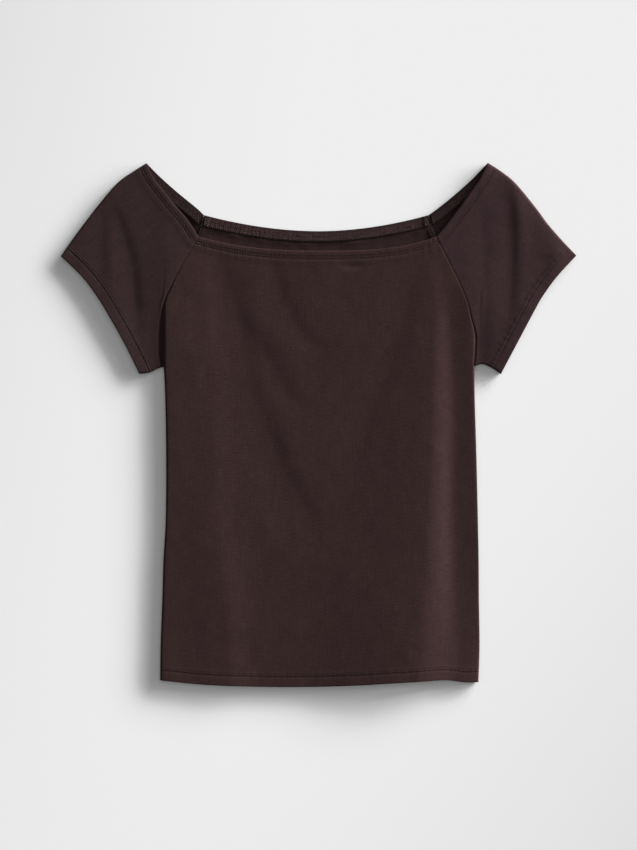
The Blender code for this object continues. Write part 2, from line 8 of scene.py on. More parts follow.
import bmesh
import bpy
import numpy as np
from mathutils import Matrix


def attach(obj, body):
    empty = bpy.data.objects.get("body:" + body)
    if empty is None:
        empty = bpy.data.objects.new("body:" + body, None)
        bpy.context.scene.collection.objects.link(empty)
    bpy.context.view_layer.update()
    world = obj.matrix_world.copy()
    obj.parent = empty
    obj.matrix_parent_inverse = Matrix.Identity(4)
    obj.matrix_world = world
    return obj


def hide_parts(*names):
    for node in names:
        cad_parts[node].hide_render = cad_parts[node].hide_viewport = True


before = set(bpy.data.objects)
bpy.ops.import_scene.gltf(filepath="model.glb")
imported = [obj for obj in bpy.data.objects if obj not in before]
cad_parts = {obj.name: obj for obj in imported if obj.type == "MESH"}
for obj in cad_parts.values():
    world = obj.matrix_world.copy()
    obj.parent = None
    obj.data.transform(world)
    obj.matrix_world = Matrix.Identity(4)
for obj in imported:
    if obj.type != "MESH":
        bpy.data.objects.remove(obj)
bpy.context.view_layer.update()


# Back. One panel of jersey, which lies face down and flat on the surface, so that its plain inner side
# shows only in the neck opening. Its hem is turned in 16 mm and caught by two rows of stitches 3 mm apart,
# and its sides roll up to meet the front's.

UNDERARM_Y = 0.069
BACK_NECK_LOW = 0.2286
BACK_NECK_POWER = 1.9
CLOTH_THICKNESS = 0.0007
TURNED_THICKNESS = 0.0015
GRID = 0.0025
SEAM_SLIT = 0.0002
RAGLAN_SLIT = 0.0003
SEAM_SINK = 0.0002
SEAM_SOFTNESS = 0.0009
HEM_DEPTH = 0.0158
HEM_ROWS = (0.012, 0.015)
BAND_STEP = 0.0012
STITCH_SINK = 0.00014
STITCH_GROOVE = 0.00062
ROLL_WIDTH = 0.0026
ROLL_MIDDLE = 0.0025
ROLL_STEPS = 9
ROLL_FADE = 0.022
ARMHOLE_TOPS = (0.15, 0.122)
RAGLAN_SLIT_START = 0.13
BACK_LIFT = 0.0003
BACK_LIFT_FADE = 0.02
BACK_RIPPLE = 0.00012
BACK_RIPPLE_SIZE = (0.011, 0.014)
TURNING_DEPTH = 0.0118
PUFF_HEIGHT = 0.0005
PUFF_DEPTH = 0.0152
PUFF_WIDTH = 0.0038
PUFF_PITCH = 0.014

JERSEY_DARK = (0.026, 0.0136, 0.0135)
JERSEY_LIGHT = (0.0464, 0.0258, 0.0258)
JERSEY_LINT = (0.09, 0.064, 0.062, 1.0)
BACK_TINT = (0.83, 0.84, 0.87)
WALE_PITCH = 0.00078
COURSE_PITCH = 0.00058
COURSE_LEAN = 0.35
LOOP_HEIGHT = 0.000018
SLUB_HEIGHT = 0.00005
GRAIN_HEIGHT = 0.00004
JERSEY_ROUGHNESS = 0.86
ROUGHNESS_SPREAD = 0.12
LINT_START = 0.7
LINT_CONTRAST = 9.0
LINT_STRENGTH = 0.55

# The yarn's unevenness: each pattern's size across and along the cloth, its detail, its seed and its share
# in the shade
YARN_PATTERNS = {
    "slubs": (0.01, 0.0011, 2.0, 11.3, 0.75),
    "columns": (0.0013, 0.03, 2.0, 4.1, 0.45),
    "mottle": (0.015, 0.019, 3.0, 27.5, 0.35),
    "grain": (0.0011, 0.0011, 2.0, 61.7, 0.7),
    "lint": (0.0016, 0.0011, 1.0, 83.2, 0.0),
}

# Each side's seams in plan, from the hem or the underarm up, with x measured out from the middle
CUT = {
    "right": {
        "sign": -1,
        "side_seam": [
            (0.1868, -0.301), (0.1863, -0.26), (0.1843, -0.2065), (0.1829, -0.159), (0.1803, -0.112),
            (0.1797, -0.041), (0.1808, 0.0295), (0.1826, UNDERARM_Y),
        ],
        "back_raglan": [
            (0.1826, UNDERARM_Y), (0.1795, 0.122), (0.156, 0.186), (0.1409, 0.228), (0.1352, 0.2476),
        ],
    },
    "left": {
        "sign": 1,
        "side_seam": [
            (0.1887, -0.3032), (0.19, -0.26), (0.1893, -0.2065), (0.189, -0.159), (0.1881, -0.112),
            (0.1865, -0.041), (0.1844, 0.0295), (0.1838, UNDERARM_Y),
        ],
        "back_raglan": [
            (0.1838, UNDERARM_Y), (0.18, 0.122), (0.1555, 0.186), (0.1365, 0.228), (0.13, 0.2476),
        ],
    },
}

# Creases where the back's outer side is lifted off the surface, in millimetres
BACK_CREASES = {
    "right side": [
        (-130, 170, 0.05, 18, 12), (-122, 50, 0.4, 22, 15), (-112, -100, 0.45, 24, 15),
        (-115, -260, 0.1, 24, 16),
    ],
    "left side": [
        (136, 150, 0.05, 15, 12), (138, 0, 0.4, 18, 13), (136, -180, 0.5, 20, 15),
        (134, -320, 0.5, 22, 17),
    ],
    "right diagonal": [
        (-90, 150, 0.05, 13, 10), (-55, 70, 0.35, 15, 11), (-10, 5, 0.3, 15, 11), (25, -40, 0.05, 14, 11),
    ],
    "left diagonal": [
        (95, 160, 0.05, 13, 9), (75, 85, 0.35, 15, 11), (42, 20, 0.3, 15, 11), (20, -30, 0.05, 14, 11),
    ],
    "low": [
        (-60, -150, 0.05, 20, 15), (-30, -210, 0.3, 22, 17), (-25, -270, 0.25, 22, 18),
        (-20, -320, 0.2, 22, 18),
    ],
}
CREASE_STEPS = np.linspace(0, 1, 25)
CREASE_REACH = 2.6
CREASE_LEAN = 0.004

# The hem from the wearer's right to left: a share of its width, and how far it hangs below the straight
# line between its ends
HEM = [
    (0.0, 0.0), (0.14, 0.0049), (0.3, 0.0068), (0.45, 0.0068), (0.6, 0.005), (0.72, 0.0021),
    (0.82, -0.0004), (0.895, -0.0024), (0.955, 0.0002), (1.0, 0.0),
]


def smooth_step(share):
    """0 below 0, 1 above 1, and a soft rise between."""
    share = np.clip(share, 0.0, 1.0)
    return share * share * (3.0 - 2.0 * share)


def hump(distance, width, power=2):
    """1 at no distance, and a soft fall to 0 past the width."""
    return np.exp(-((distance / width) ** power))


def lengths_along(line):
    """How far along a line each of its points lies."""
    return np.concatenate([[0.0], np.cumsum(np.linalg.norm(np.diff(line, axis=0), axis=1))])


def points_along(line, lengths, wanted):
    """Points at the wanted distances along a line, whose own points lie at the given lengths."""
    return np.stack([np.interp(wanted, lengths, line[:, axis]) for axis in range(line.shape[1])], axis=-1)


def smooth_curve(points, shares):
    """Points at the given shares of the length of a smooth curve through a few given points."""
    points = np.asarray(points, float)
    ends = np.vstack([2 * points[0] - points[1], points, 2 * points[-1] - points[-2]])
    steps = np.linspace(0, 1, 17)[1:, None]
    fine = [points[:1]]
    for before, start, end, after in zip(ends, ends[1:], ends[2:], ends[3:]):
        turn = 2 * before - 5 * start + 4 * end - after
        tail = 3 * start - before - 3 * end + after
        fine.append(start + 0.5 * ((end - before) * steps + turn * steps**2 + tail * steps**3))
    fine = np.concatenate(fine)
    lengths = lengths_along(fine[:, :2])
    return points_along(fine, lengths, np.asarray(shares, float) * lengths[-1])


def seam_points(side, name, shares):
    """A side seam or raglan seam in plan, at shares of its length from the hem or the underarm up."""
    return smooth_curve(np.array(CUT[side][name]) * (CUT[side]["sign"], 1), shares)


def seam_end(side, name):
    return seam_points(side, name, [1.0])[0]


def seam_length(side, name, steps):
    return lengths_along(seam_points(side, name, np.linspace(0, 1, steps)))[-1]


def back_neck_y(x):
    """The back neck edge, a wider curve that stands above the front one."""
    right, left = seam_end("right", "back_raglan"), seam_end("left", "back_raglan")
    half = np.where(x < 0, -right[0], left[0])
    return BACK_NECK_LOW + (right[1] - BACK_NECK_LOW) * np.abs(x / half) ** BACK_NECK_POWER


def hem_sag(share):
    curve = smooth_curve(HEM, np.linspace(0, 1, 81))
    return np.interp(share, curve[:, 0], curve[:, 1])


def hem_y(x):
    """The hem's edge in plan."""
    right = seam_points("right", "side_seam", [0.0])[0]
    left = seam_points("left", "side_seam", [0.0])[0]
    share = (x - right[0]) / (left[0] - right[0])
    return right[1] + (left[1] - right[1]) * share - hem_sag(share)


class Wired:
    """A socket's value in a node tree, on which arithmetic adds Math nodes."""

    def __init__(self, tree, socket):
        self.tree = tree
        self.socket = socket

    def output(self, number):
        """Another output of the same node."""
        return Wired(self.tree, self.socket.node.outputs[number])

    def to(self, place):
        self.tree.links.new(self.socket, place)

    def node(self, kind, settings=None, **values):
        """The first output of a new node, with its settings, then its sockets' values or links."""
        made = self.tree.nodes.new(kind)
        for name, value in (settings or {}).items():
            setattr(made, name, value)
        for name, value in values.items():
            place = made.inputs[int(name[1:])] if name[1:].isdigit() else made.inputs[name.replace("_", " ")]
            if isinstance(value, Wired):
                value.to(place)
            else:
                place.default_value = value
        return Wired(self.tree, made.outputs[0])

    def maths(self, operation, first, second=0.0):
        return self.node("ShaderNodeMath", {"operation": operation}, i0=first, i1=second)

    def __add__(self, other):
        return self.maths("ADD", self, other)

    __radd__ = __add__

    def __mul__(self, other):
        return self.maths("MULTIPLY", self, other)

    __rmul__ = __mul__

    def __sub__(self, other):
        return self.maths("SUBTRACT", self, other)

    def __rsub__(self, other):
        return self.maths("SUBTRACT", other, self)

    def clamped(self):
        return self.maths("MINIMUM", self.maths("MAXIMUM", self, 0.0), 1.0)

    def wave(self):
        return self.maths("SINE", self * (2 * math.pi))

    def mix(self, first, second):
        """A colour between two others, by this share."""
        return self.node("ShaderNodeMix", {"data_type": "RGBA"}, i0=self, i6=first, i7=second).output(2)

    def bumped(self):
        """The normal that a relief in metres gives."""
        return self.node("ShaderNodeBump", None, Strength=1.0, Distance=1.0, Height=self)


def plain_looks(name, **values):
    """A material whose main shader has the given values."""
    material = bpy.data.materials.new(name)
    material.use_nodes = True
    sockets = material.node_tree.nodes["Principled BSDF"].inputs
    for socket, value in values.items():
        sockets[socket.replace("_", " ")].default_value = value
    return material, sockets


def cloth_place(material):
    """The place on the flat cloth, and its parts across and along."""
    mapped = material.node_tree.nodes.new("ShaderNodeUVMap")
    mapped.uv_map = "cloth"
    place = Wired(material.node_tree, mapped.outputs[0])
    across = place.node("ShaderNodeSeparateXYZ", i0=place)
    return place, across, across.output(1)


def jersey(name, tint, turned=False):
    """Matte fine jersey: columns of small knit loops, uneven yarn that shows as short level slubs, and lint.

    tint scales its red, green and blue, and turned shows its duller inner side.
    """
    material, sockets = plain_looks(
        name,
        Metallic=0.0,
        Specular_IOR_Level=0.0,
        Sheen_Weight=0.04,
        Sheen_Roughness=0.45,
        Sheen_Tint=(0.8, 0.8, 0.9, 1.0),
    )
    place, across, along = cloth_place(material)
    yarn = {}
    shade = 0.5
    flat_noise = {"noise_dimensions": "2D"}
    for pattern, (size_across, size_along, detail, seed, share) in YARN_PATTERNS.items():
        scale = (1 / size_across, 1 / size_along, 1.0)
        scaled = place.node("ShaderNodeVectorMath", {"operation": "MULTIPLY"}, i0=place, i1=scale)
        shift = (seed, seed * 0.7, 0.0)
        moved = place.node("ShaderNodeVectorMath", {"operation": "ADD"}, i0=scaled, i1=shift)
        yarn[pattern] = place.node("ShaderNodeTexNoise", flat_noise, Vector=moved, Scale=1.0, Detail=detail)
        if share:
            shade = shade + (yarn[pattern] - 0.5) * share

    darkest, lightest = (*np.multiply(JERSEY_DARK, tint), 1.0), (*np.multiply(JERSEY_LIGHT, tint), 1.0)
    speck = ((yarn["lint"] - LINT_START) * LINT_CONTRAST).clamped() * LINT_STRENGTH
    speck.mix(shade.clamped().mix(darkest, lightest), JERSEY_LINT).to(sockets["Base Color"])
    (JERSEY_ROUGHNESS + (yarn["grain"] - 0.5) * ROUGHNESS_SPREAD).clamped().to(sockets["Roughness"])

    wale = (across * (1 / WALE_PITCH)).wave()
    lean = wale.maths("ABSOLUTE", wale) * COURSE_LEAN
    course = (along * (1 / COURSE_PITCH) + lean).wave()
    plainer, stronger = (wale, course) if turned else (course, wale)
    loops = stronger * 0.55 + plainer * 0.3
    fine = (yarn["grain"] + yarn["columns"]) * GRAIN_HEIGHT
    (loops * LOOP_HEIGHT + yarn["slubs"] * SLUB_HEIGHT + fine).bumped().to(sockets["Normal"])
    return material


def unit(vectors):
    return vectors / np.maximum(np.linalg.norm(vectors, axis=-1, keepdims=True), 1e-12)


def tangents(points, axis, ring=False):
    """The surface's direction along one axis of its grid, from the steps on both sides of each point."""
    steps = unit(np.diff(points, axis=axis))
    if ring:
        closing = unit(np.take(points, [0], axis) - np.take(points, [-1], axis))
        after = np.concatenate([steps, closing], axis)
        return unit(after + np.roll(after, 1, axis))
    first = np.take(steps, [0], axis)
    last = np.take(steps, [-1], axis)
    return unit(np.concatenate([first, steps], axis) + np.concatenate([steps, last], axis))


def normals(points, ring=False):
    """Normals of a grid, up where its columns run to +X and its rows to +Y."""
    return unit(np.cross(tangents(points, 1, ring), tangents(points, 0)))


def add_object(name, data):
    made = bpy.data.objects.new(name, data)
    bpy.context.scene.collection.objects.link(made)
    return made


def surface(name, points, faces, flat, material):
    """A closed mesh that rides with the top. flat holds each point's place on the flat cloth, in metres."""
    mesh = bpy.data.meshes.new(name)
    mesh.from_pydata(points.tolist(), [], faces)
    facing_out = bmesh.new()
    facing_out.from_mesh(mesh)
    bmesh.ops.recalc_face_normals(facing_out, faces=facing_out.faces)
    facing_out.to_mesh(mesh)
    facing_out.free()
    corners = np.empty(len(mesh.loops), int)
    mesh.loops.foreach_get("vertex_index", corners)
    mesh.uv_layers.new(name="cloth").data.foreach_set("uv", flat[corners].ravel())
    mesh.shade_smooth()
    mesh.set_sharp_from_angle(angle=math.radians(60))
    mesh.materials.append(material)
    piece = add_object(name, mesh)
    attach(piece, "root")
    return piece


def cloth_object(name, outer, inner, cloth, material, ring=False, inner_face_looks=None):
    """A closed cloth wall between two grids of points. cloth holds each point's place on the flat jersey.

    inner_face_looks is the looks of its inner side, where they differ, such as the sleeves' painted shade.
    """
    rows, columns = outer.shape[:2]
    strips = columns if ring else columns - 1
    row = np.arange(rows - 1)[:, None] * columns
    column = row + np.arange(strips)
    after = row + (np.arange(strips) + 1) % columns
    quads = np.stack([column, after, after + columns, column + columns], axis=-1).reshape(-1, 4)
    inside = rows * columns
    faces = [quads, quads[:, ::-1] + inside]
    rims = [np.arange(strips + 1) % columns, (rows - 1) * columns + np.arange(strips + 1) % columns]
    if not ring:
        rims += [np.arange(rows) * columns, np.arange(rows) * columns + columns - 1]
    for rim in rims:
        faces.append(np.stack([rim[:-1], rim[1:], rim[1:] + inside, rim[:-1] + inside], axis=-1))
    faces = np.concatenate(faces)
    points = np.concatenate([outer.reshape(-1, 3), inner.reshape(-1, 3)])
    flat = np.concatenate([cloth.reshape(-1, 2), cloth.reshape(-1, 2)])
    piece = surface(name, points, faces.tolist(), flat, material)
    if inner_face_looks:
        piece.data.materials.append(inner_face_looks)
        inner_side = (np.arange(len(faces)) // len(quads) == 1).astype(np.int32)
        piece.data.polygons.foreach_set("material_index", inner_side)
    return piece


def filled(marks, step):
    """The given distances with even ones between them, so that none are further apart than step."""
    marks = np.unique(np.round(marks, 6))
    runs = []
    for start, end in zip(marks, marks[1:]):
        parts = max(int(math.ceil((end - start) / step)), 1)
        runs.append(np.linspace(start, end, parts + 1)[:-1])
    return np.concatenate(runs + [marks[-1:]])


GROOVE_MARKS = (-0.001, -0.0006, -0.0003, 0, 0.0003, 0.0006, 0.001)
EDGE_MARKS = [0, 0.00025, 0.0006, 0.0011, 0.0018, 0.003]


def groove_marks(rows):
    """Distances around rows of stitches, close enough to draw the groove that each row pulls."""
    return [row + offset for row in rows for offset in GROOVE_MARKS]


HEM_MARKS = EDGE_MARKS + groove_marks(HEM_ROWS) + [HEM_DEPTH, HEM_DEPTH + BAND_STEP]


def panel_stations(layer, neck_marks):
    """Distances up a panel's edge: through the hem, up the side seam, and up the raglan to the neck."""
    seam = seam_length("right", "side_seam", 60)
    raglan = seam_length("right", f"{layer}_raglan", 60)
    lower = filled(HEM_MARKS + [seam], GRID) / seam
    upper = filled([0] + [raglan - mark for mark in neck_marks], GRID) / raglan
    return lower[:-1], upper


def rolled(y, top):
    """1 where an edge rolls over, below the height top in plan, and 0 where it stays flat."""
    return 1 - smooth_step((y - top) / ROLL_FADE)


def panel_plan(layer, neck_y, roll_tops, neck_marks):
    """Plan points of a body panel, the roll's angle at each column and the distance from its side edges."""
    lower, upper = panel_stations(layer, neck_marks)
    edges = []
    for side, roll_top in zip(("right", "left"), roll_tops):
        side_seam = seam_points(side, "side_seam", lower)
        edge = np.concatenate([side_seam, seam_points(side, f"{layer}_raglan", upper)])
        above_roll = 1 - rolled(edge[:, 1], max(roll_top, RAGLAN_SLIT_START))
        edge[:, 0] -= CUT[side]["sign"] * (SEAM_SLIT / 2 + (RAGLAN_SLIT - SEAM_SLIT / 2) * above_roll)
        edges.append(edge)
    right, left = edges
    roll = np.linspace(0, math.pi / 2, ROLL_STEPS)
    columns = int(np.linalg.norm(left[0] - right[0]) / GRID)
    angles = np.concatenate([[-roll[1]], roll, np.full(columns - 1, math.pi / 2), roll[::-1], [-roll[1]]])
    flat = np.linspace(0, 1, columns + 1)[1:-1]
    reach = ROLL_WIDTH * (1 - np.cos(roll))
    rows, from_side = [], []
    for start, end in zip(right, left):
        width = np.linalg.norm(end - start)
        before = reach[1] * (2 * rolled(start[1], roll_tops[0]) - 1)
        after = reach[1] * (2 * rolled(end[1], roll_tops[1]) - 1)
        middle = ROLL_WIDTH + flat * (width - 2 * ROLL_WIDTH)
        across = np.concatenate([[before], reach, middle, width - reach[::-1], [width - after]])
        points = start + (end - start) * (across / width)[:, None]
        inside = np.clip(across / width, 0, 1)
        top = right[-1] + (left[-1] - right[-1]) * inside[:, None]
        up_raglan = (start[1] - UNDERARM_Y) / (right[-1][1] - UNDERARM_Y)
        down_side = (UNDERARM_Y - start[1]) / (UNDERARM_Y - right[0][1])
        points[:, 1] += (neck_y(top[:, 0]) - top[:, 1]) * smooth_step(up_raglan)
        points[:, 1] -= hem_sag(inside) * max(down_side, 0) ** 2
        rows.append(points)
        from_side.append(np.clip(np.minimum(across, width - across), 0, None))
    return np.array(rows), angles, np.array(from_side)


def unevenness(x, y, size_x, size_y, seed):
    """A soft random relief between -1 and 1, with humps of about the given size."""
    cells = 96
    heights = np.random.default_rng(seed).uniform(-1, 1, (cells, cells))
    column, row = x / size_x + cells // 2, y / size_y + cells // 2
    column_start, row_start = np.floor(column).astype(int), np.floor(row).astype(int)
    column_share, row_share = smooth_step(column - column_start), smooth_step(row - row_start)
    low, high = (
        heights[(row_start + r) % cells, column_start % cells] * (1 - column_share)
        + heights[(row_start + r) % cells, (column_start + 1) % cells] * column_share
        for r in (0, 1)
    )
    return low * (1 - row_share) + high * row_share


def drift(along, size, seed):
    """Unevenness along a line."""
    return unevenness(along, along * 0, size, 1.0, seed)


def crease_relief(x, y, creases):
    """The height that creases add to cloth. Each follows a few points in millimetres: x, y, height, and how
    far it spreads to the wearer's right and left."""
    relief = np.zeros(np.shape(x))
    place = np.stack([x, y], axis=-1)
    for points in creases.values():
        line = smooth_curve(points, CREASE_STEPS) / 1000
        reach = CREASE_REACH * line[:, 3:].max()
        low, high = line[:, :2].min(axis=0) - reach, line[:, :2].max(axis=0) + reach
        close = ((place > low) & (place < high)).all(axis=-1)
        near = place[close]
        nearest = np.full(len(near), np.inf)
        there = np.zeros((len(near), 5))
        for start, end in zip(line, line[1:]):
            along = end[:2] - start[:2]
            share = np.clip((near - start[:2]) @ along / (along @ along), 0, 1)[:, None]
            on_line = start + share * (end - start)
            gap = np.linalg.norm(near - on_line[:, :2], axis=1)
            there = np.where((gap < nearest)[:, None], on_line, there)
            nearest = np.minimum(gap, nearest)
        lean = smooth_step((near[:, 0] - there[:, 0]) / CREASE_LEAN + 0.5)
        spread = there[:, 3] * (1 - lean) + there[:, 4] * lean
        relief[close] += there[:, 2] * hump(nearest, spread)
    return relief


def step_down(distance, depth, width=BAND_STEP):
    """1 within a turned edge of the given depth, and 0 past it."""
    return 1 - smooth_step((distance - depth) / width)


def stitch_grooves(distance, rows):
    """How far the cloth is pulled down around each row of stitches."""
    return sum(STITCH_SINK * hump(distance - row, STITCH_GROOVE) for row in rows)


def build_back():
    neck_marks = EDGE_MARKS + [TURNING_DEPTH / 2, TURNING_DEPTH]
    plan, angles, from_side = panel_plan("back", back_neck_y, (UNDERARM_Y, UNDERARM_Y), neck_marks)
    x, y = plan[..., 0], plan[..., 1]
    from_hem = y - hem_y(x)
    from_neck = back_neck_y(x) - y
    seam = (ROLL_MIDDLE - SEAM_SLIT / 2 - BACK_LIFT) * rolled(y, UNDERARM_Y)
    lifted = crease_relief(x, y, BACK_CREASES) * np.sin(angles)
    lifted = lifted * smooth_step((from_neck - TURNING_DEPTH) / BACK_LIFT_FADE)
    smooth = BACK_LIFT + lifted + seam * (1 - np.sin(angles))
    fine = smooth + stitch_grooves(from_hem, HEM_ROWS) * np.sin(angles)
    outer = np.dstack([plan, fine])
    base = np.dstack([plan, smooth])
    thickness = CLOTH_THICKNESS + (TURNED_THICKNESS - CLOTH_THICKNESS) * step_down(from_hem, HEM_DEPTH)
    gathered = 0.75 + 0.5 * drift(x, PUFF_PITCH, 6)
    puff = PUFF_HEIGHT * gathered * hump(from_neck - PUFF_DEPTH, PUFF_WIDTH) * (from_neck > TURNING_DEPTH)
    ripple = BACK_RIPPLE * unevenness(x, y, *BACK_RIPPLE_SIZE, 5)
    inner = base + normals(base) * (thickness + puff + ripple)[..., None]
    cut = plan - np.array([0.0, UNDERARM_Y])
    material = jersey("back_jersey_looks", BACK_TINT, turned=True)
    return cloth_object("back_cloth", outer[:, 1:-1], inner[:, 1:-1], cut[:, 1:-1], material)


back_cloth = build_back()
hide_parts("back")


# Front. The upper panel lies on the back one. Its sides roll down to the side seams and lower armholes, its
# neck edge is turned in over a 6 mm elastic and caught by two rows of stitches, and soft folds run down it
# from the neck, the largest along the wearer's left side.

FRONT_NECK_LOW = 0.2055
CUT["right"]["front_raglan"] = [
    (0.1826, UNDERARM_Y), (0.1824, 0.125), (0.1813, 0.147), (0.175, 0.1615), (0.1598, 0.191),
    (0.1412, 0.2222),
]
CUT["left"]["front_raglan"] = [
    (0.1838, UNDERARM_Y), (0.185, 0.105), (0.1802, 0.1294), (0.1738, 0.151), (0.16, 0.1815),
    (0.139, 0.2222),
]
CUT["right"]["front_neck_power"] = 2.4
CUT["left"]["front_neck_power"] = 3.1
REST_HEIGHT = 0.0045
EDGE_SWELL = 0.0002
EDGE_SWELL_WIDTH = 0.016
EDGE_SWELL_X = 0.18

# The cloth's soft waves: height, size across and along, and seed
SOFT_WAVES = ((0.00016, 0.034, 0.052, 21), (0.00005, 0.013, 0.017, 22))
ARMHOLE_SEAM_HEIGHT = 0.0027
NECK_BAND_DEPTH = 0.0114
NECK_ROWS = (0.0067, 0.0099)
ELASTIC_END = 0.006
ELASTIC_MIDDLE = 0.0034
ELASTIC_BULGE = 0.00012
NECK_BAND_RISE = 0.00012
NECK_THICKNESS = 0.0018
FOLDED_EDGE_DROP = 0.0002
FOLDED_EDGE_SOFTNESS = 0.0006
GATHER_PITCH = 0.0052
GATHER_STRAYING = 0.6
GATHER_DRIFT = 0.021
GATHER_FADE = 0.003
GATHER = 0.00005
PUCKER_PITCH = 0.0085
PUCKER = 0.00008
PUCKER_REACH = 0.011
PUCKER_STRAYING = 0.8
PUCKER_DEPTH_DRIFT = 0.027
NECK_PUCKER_DRIFT = 0.033
HEM_PUCKER_DRIFT = 0.03
NECK_EASE = 0.00016
NECK_EASE_DEPTH = 0.0138
NECK_EASE_WIDTH = 0.0028
NECK_ROW_PULL = 1.7
HEM_ROW_PULL = 1.6
HEM_RISE = 0.00008
TUNNEL = 0.00008
TUNNEL_WIDTH = 0.0009
HEM_EDGE_DROP = 0.00016
HEM_PUCKER = 0.000048
HEM_PUCKER_WIDTH = 0.006

# Each crease is a soft trough or ridge along a few points in millimetres: x, y, its height above the
# resting cloth, and how far it spreads to the wearer's right and left
CREASES = {
    "side ridge": [
        (134, 210, 0, 25, 10), (135, 120, 0.7, 40, 11), (132.5, 0, 1.6, 60, 15.5),
        (125, -150, 2.9, 85, 23.5), (116, -250, 3.7, 100, 32.5), (113, -320, 4.2, 100, 36),
    ],
    "side hollow": [
        (155.5, 150, -0.3, 10, 12), (157.5, 110, -1, 11, 25), (160, 30, -1.5, 12.5, 50),
        (160, -80, -1.8, 13, 60), (162, -200, -1.9, 16, 60), (166, -260, -1.3, 20, 60),
        (170, -320, -0.3, 24, 60),
    ],
    "right soft ridge": [
        (-136, 216, 0.1, 30, 11), (-133, 140, 0.4, 40, 13), (-129, 70, 0.5, 45, 18),
        (-127, -20, 0.7, 50, 19), (-122, -120, 0.9, 50, 19), (-111, -200, 1.1, 50, 19),
        (-104, -320, 1.1, 50, 18),
    ],
    "long diagonal": [
        (-124, 202, -0.1, 20, 11), (-100, 145, -0.8, 35, 15), (-89, 70, -0.7, 45, 15),
        (-74, 25, -0.6, 48, 14), (-52, -33, -0.7, 46, 13), (-28, -84, -0.7, 40, 13),
        (2, -125, -0.1, 30, 12),
    ],
    "short diagonal": [
        (-56, 198, -0.1, 13, 8), (-47, 163, -0.5, 20, 10), (-33, 124, -0.5, 22, 11),
        (-10, 97, -0.4, 22, 11), (18, 85, -0.1, 18, 10),
    ],
    "branch": [
        (-92, 125, -0.1, 15, 10), (-62, 78, -0.6, 22, 14), (-40, 40, -0.5, 22, 13), (-8, 6, -0.1, 20, 11),
    ],
    "left diagonal": [
        (118, 200, -0.1, 18, 8), (113, 180, -0.2, 20, 8.5), (106, 146, -0.3, 22, 10),
        (83, 70, -0.5, 22, 11), (57, 12, -0.4, 20, 11), (46, -40, -0.1, 18, 10),
    ],
    "left hem corner": [
        (197, -230, -0.1, 13, 13), (197, -270, -0.6, 13, 13), (197, -320, -1.1, 13, 13),
    ],
    "hem middle": [
        (5, -240, -0.1, 45, 40), (5, -290, -0.4, 55, 50), (5, -325, -0.5, 60, 55),
    ],
    "neck tuck": [
        (22, 188, 0, 3.5, 3.5), (41, 187, -0.5, 3.5, 3.5), (58, 188, 0, 3.5, 3.5),
    ],
    "right sleeve trough": [
        (-247, 265, -0.1, 12, 7), (-237, 240, -0.5, 16, 8), (-223.5, 197, -0.7, 18, 8.5),
        (-218.5, 160, -0.7, 18, 8.5), (-216, 125, -0.5, 16, 8), (-215.5, 95, -0.1, 12, 7),
    ],
    "right sleeve hollow": [
        (-259, 264, -0.1, 11, 7), (-257, 245, -0.4, 13, 8), (-256.5, 216, -0.5, 14, 8),
        (-256, 180, -0.4, 14, 8), (-254, 150, -0.1, 11, 7),
    ],
    "left sleeve trough": [
        (224, 260, -0.1, 13, 7), (226.5, 235, -0.5, 15, 8), (227, 200, -0.6, 16, 8),
        (226, 160, -0.6, 16, 8), (224, 135, -0.4, 14, 7.5), (219, 112, -0.1, 12, 7),
    ],
    "left sleeve hollow": [
        (189.5, 256, -0.15, 45, 10), (191, 240, -0.4, 60, 10), (192, 197, -0.45, 60, 10),
        (191.5, 165, -0.25, 45, 10),
    ],
    "left underarm hollow": [
        (198, 150, -0.1, 9, 8), (193, 125, -0.5, 9, 10), (191, 95, -0.6, 9, 10), (192, 70, -0.2, 9, 9),
    ],
    "left sleeve ridge": [
        (229, 292, 0.3, 8, 11), (235, 264, 0.7, 8, 11), (237, 230, 0.5, 8, 11), (236, 190, 0.3, 8, 11),
        (233, 155, 0.1, 8, 11),
    ],
    "left sleeve tip": [
        (213, 307, -0.9, 10, 30), (245, 280, -0.8, 11, 30), (280, 240, -1.2, 15, 30),
        (304, 200, -1.5, 24, 30), (278, 150, -0.9, 22, 30),
    ],
    "left sleeve tip ridge": [
        (266, 248, 0.1, 14, 10), (278, 223, 0.5, 14, 13), (281, 198, 0.8, 12, 14),
        (275, 175, 0.5, 12, 13), (266, 155, 0.1, 12, 10),
    ],
    "right armhole swell": [
        (-181.5, 150, 0.2, 2, 40), (-181.5, 125, 0.5, 2, 40), (-181, 90, 0.6, 2, 40),
        (-180.5, 60, 0.3, 2, 40), (-180, 35, 0.1, 2, 40),
    ],
    "right armhole ease": [
        (-188, 150, -0.1, 25, 3), (-188, 130, -0.5, 25, 3), (-188, 90, -0.6, 25, 3),
        (-188, 60, -0.5, 25, 3),
    ],
    "right shoulder ridge": [
        (-140, 224, 0.1, 30, 30), (-160, 191, 0.4, 35, 30), (-175, 161.5, 0.4, 35, 30),
        (-183, 125, 0.1, 30, 30),
    ],
    "right sleeve tip": [
        (-275, 245, -0.3, 40, 25), (-304, 200, -0.8, 40, 40), (-280, 150, -0.3, 40, 25),
    ],
}


def waves(along, pitch, straying, size, seed):
    """Waves of about the given pitch along a line, between -1 and 1, whose places stray a little."""
    return np.sin(2 * math.pi * (along / pitch + straying * drift(along, size, seed)))


def front_neck_y(x):
    """The front neck edge: level in the middle, and rising to its two corners."""
    right, left = seam_end("right", "front_raglan"), seam_end("left", "front_raglan")
    middle = (right[0] + left[0]) / 2
    half = (left[0] - right[0]) / 2
    power = np.where(x < middle, CUT["right"]["front_neck_power"], CUT["left"]["front_neck_power"])
    return FRONT_NECK_LOW + (right[1] - FRONT_NECK_LOW) * np.abs((x - middle) / half) ** power


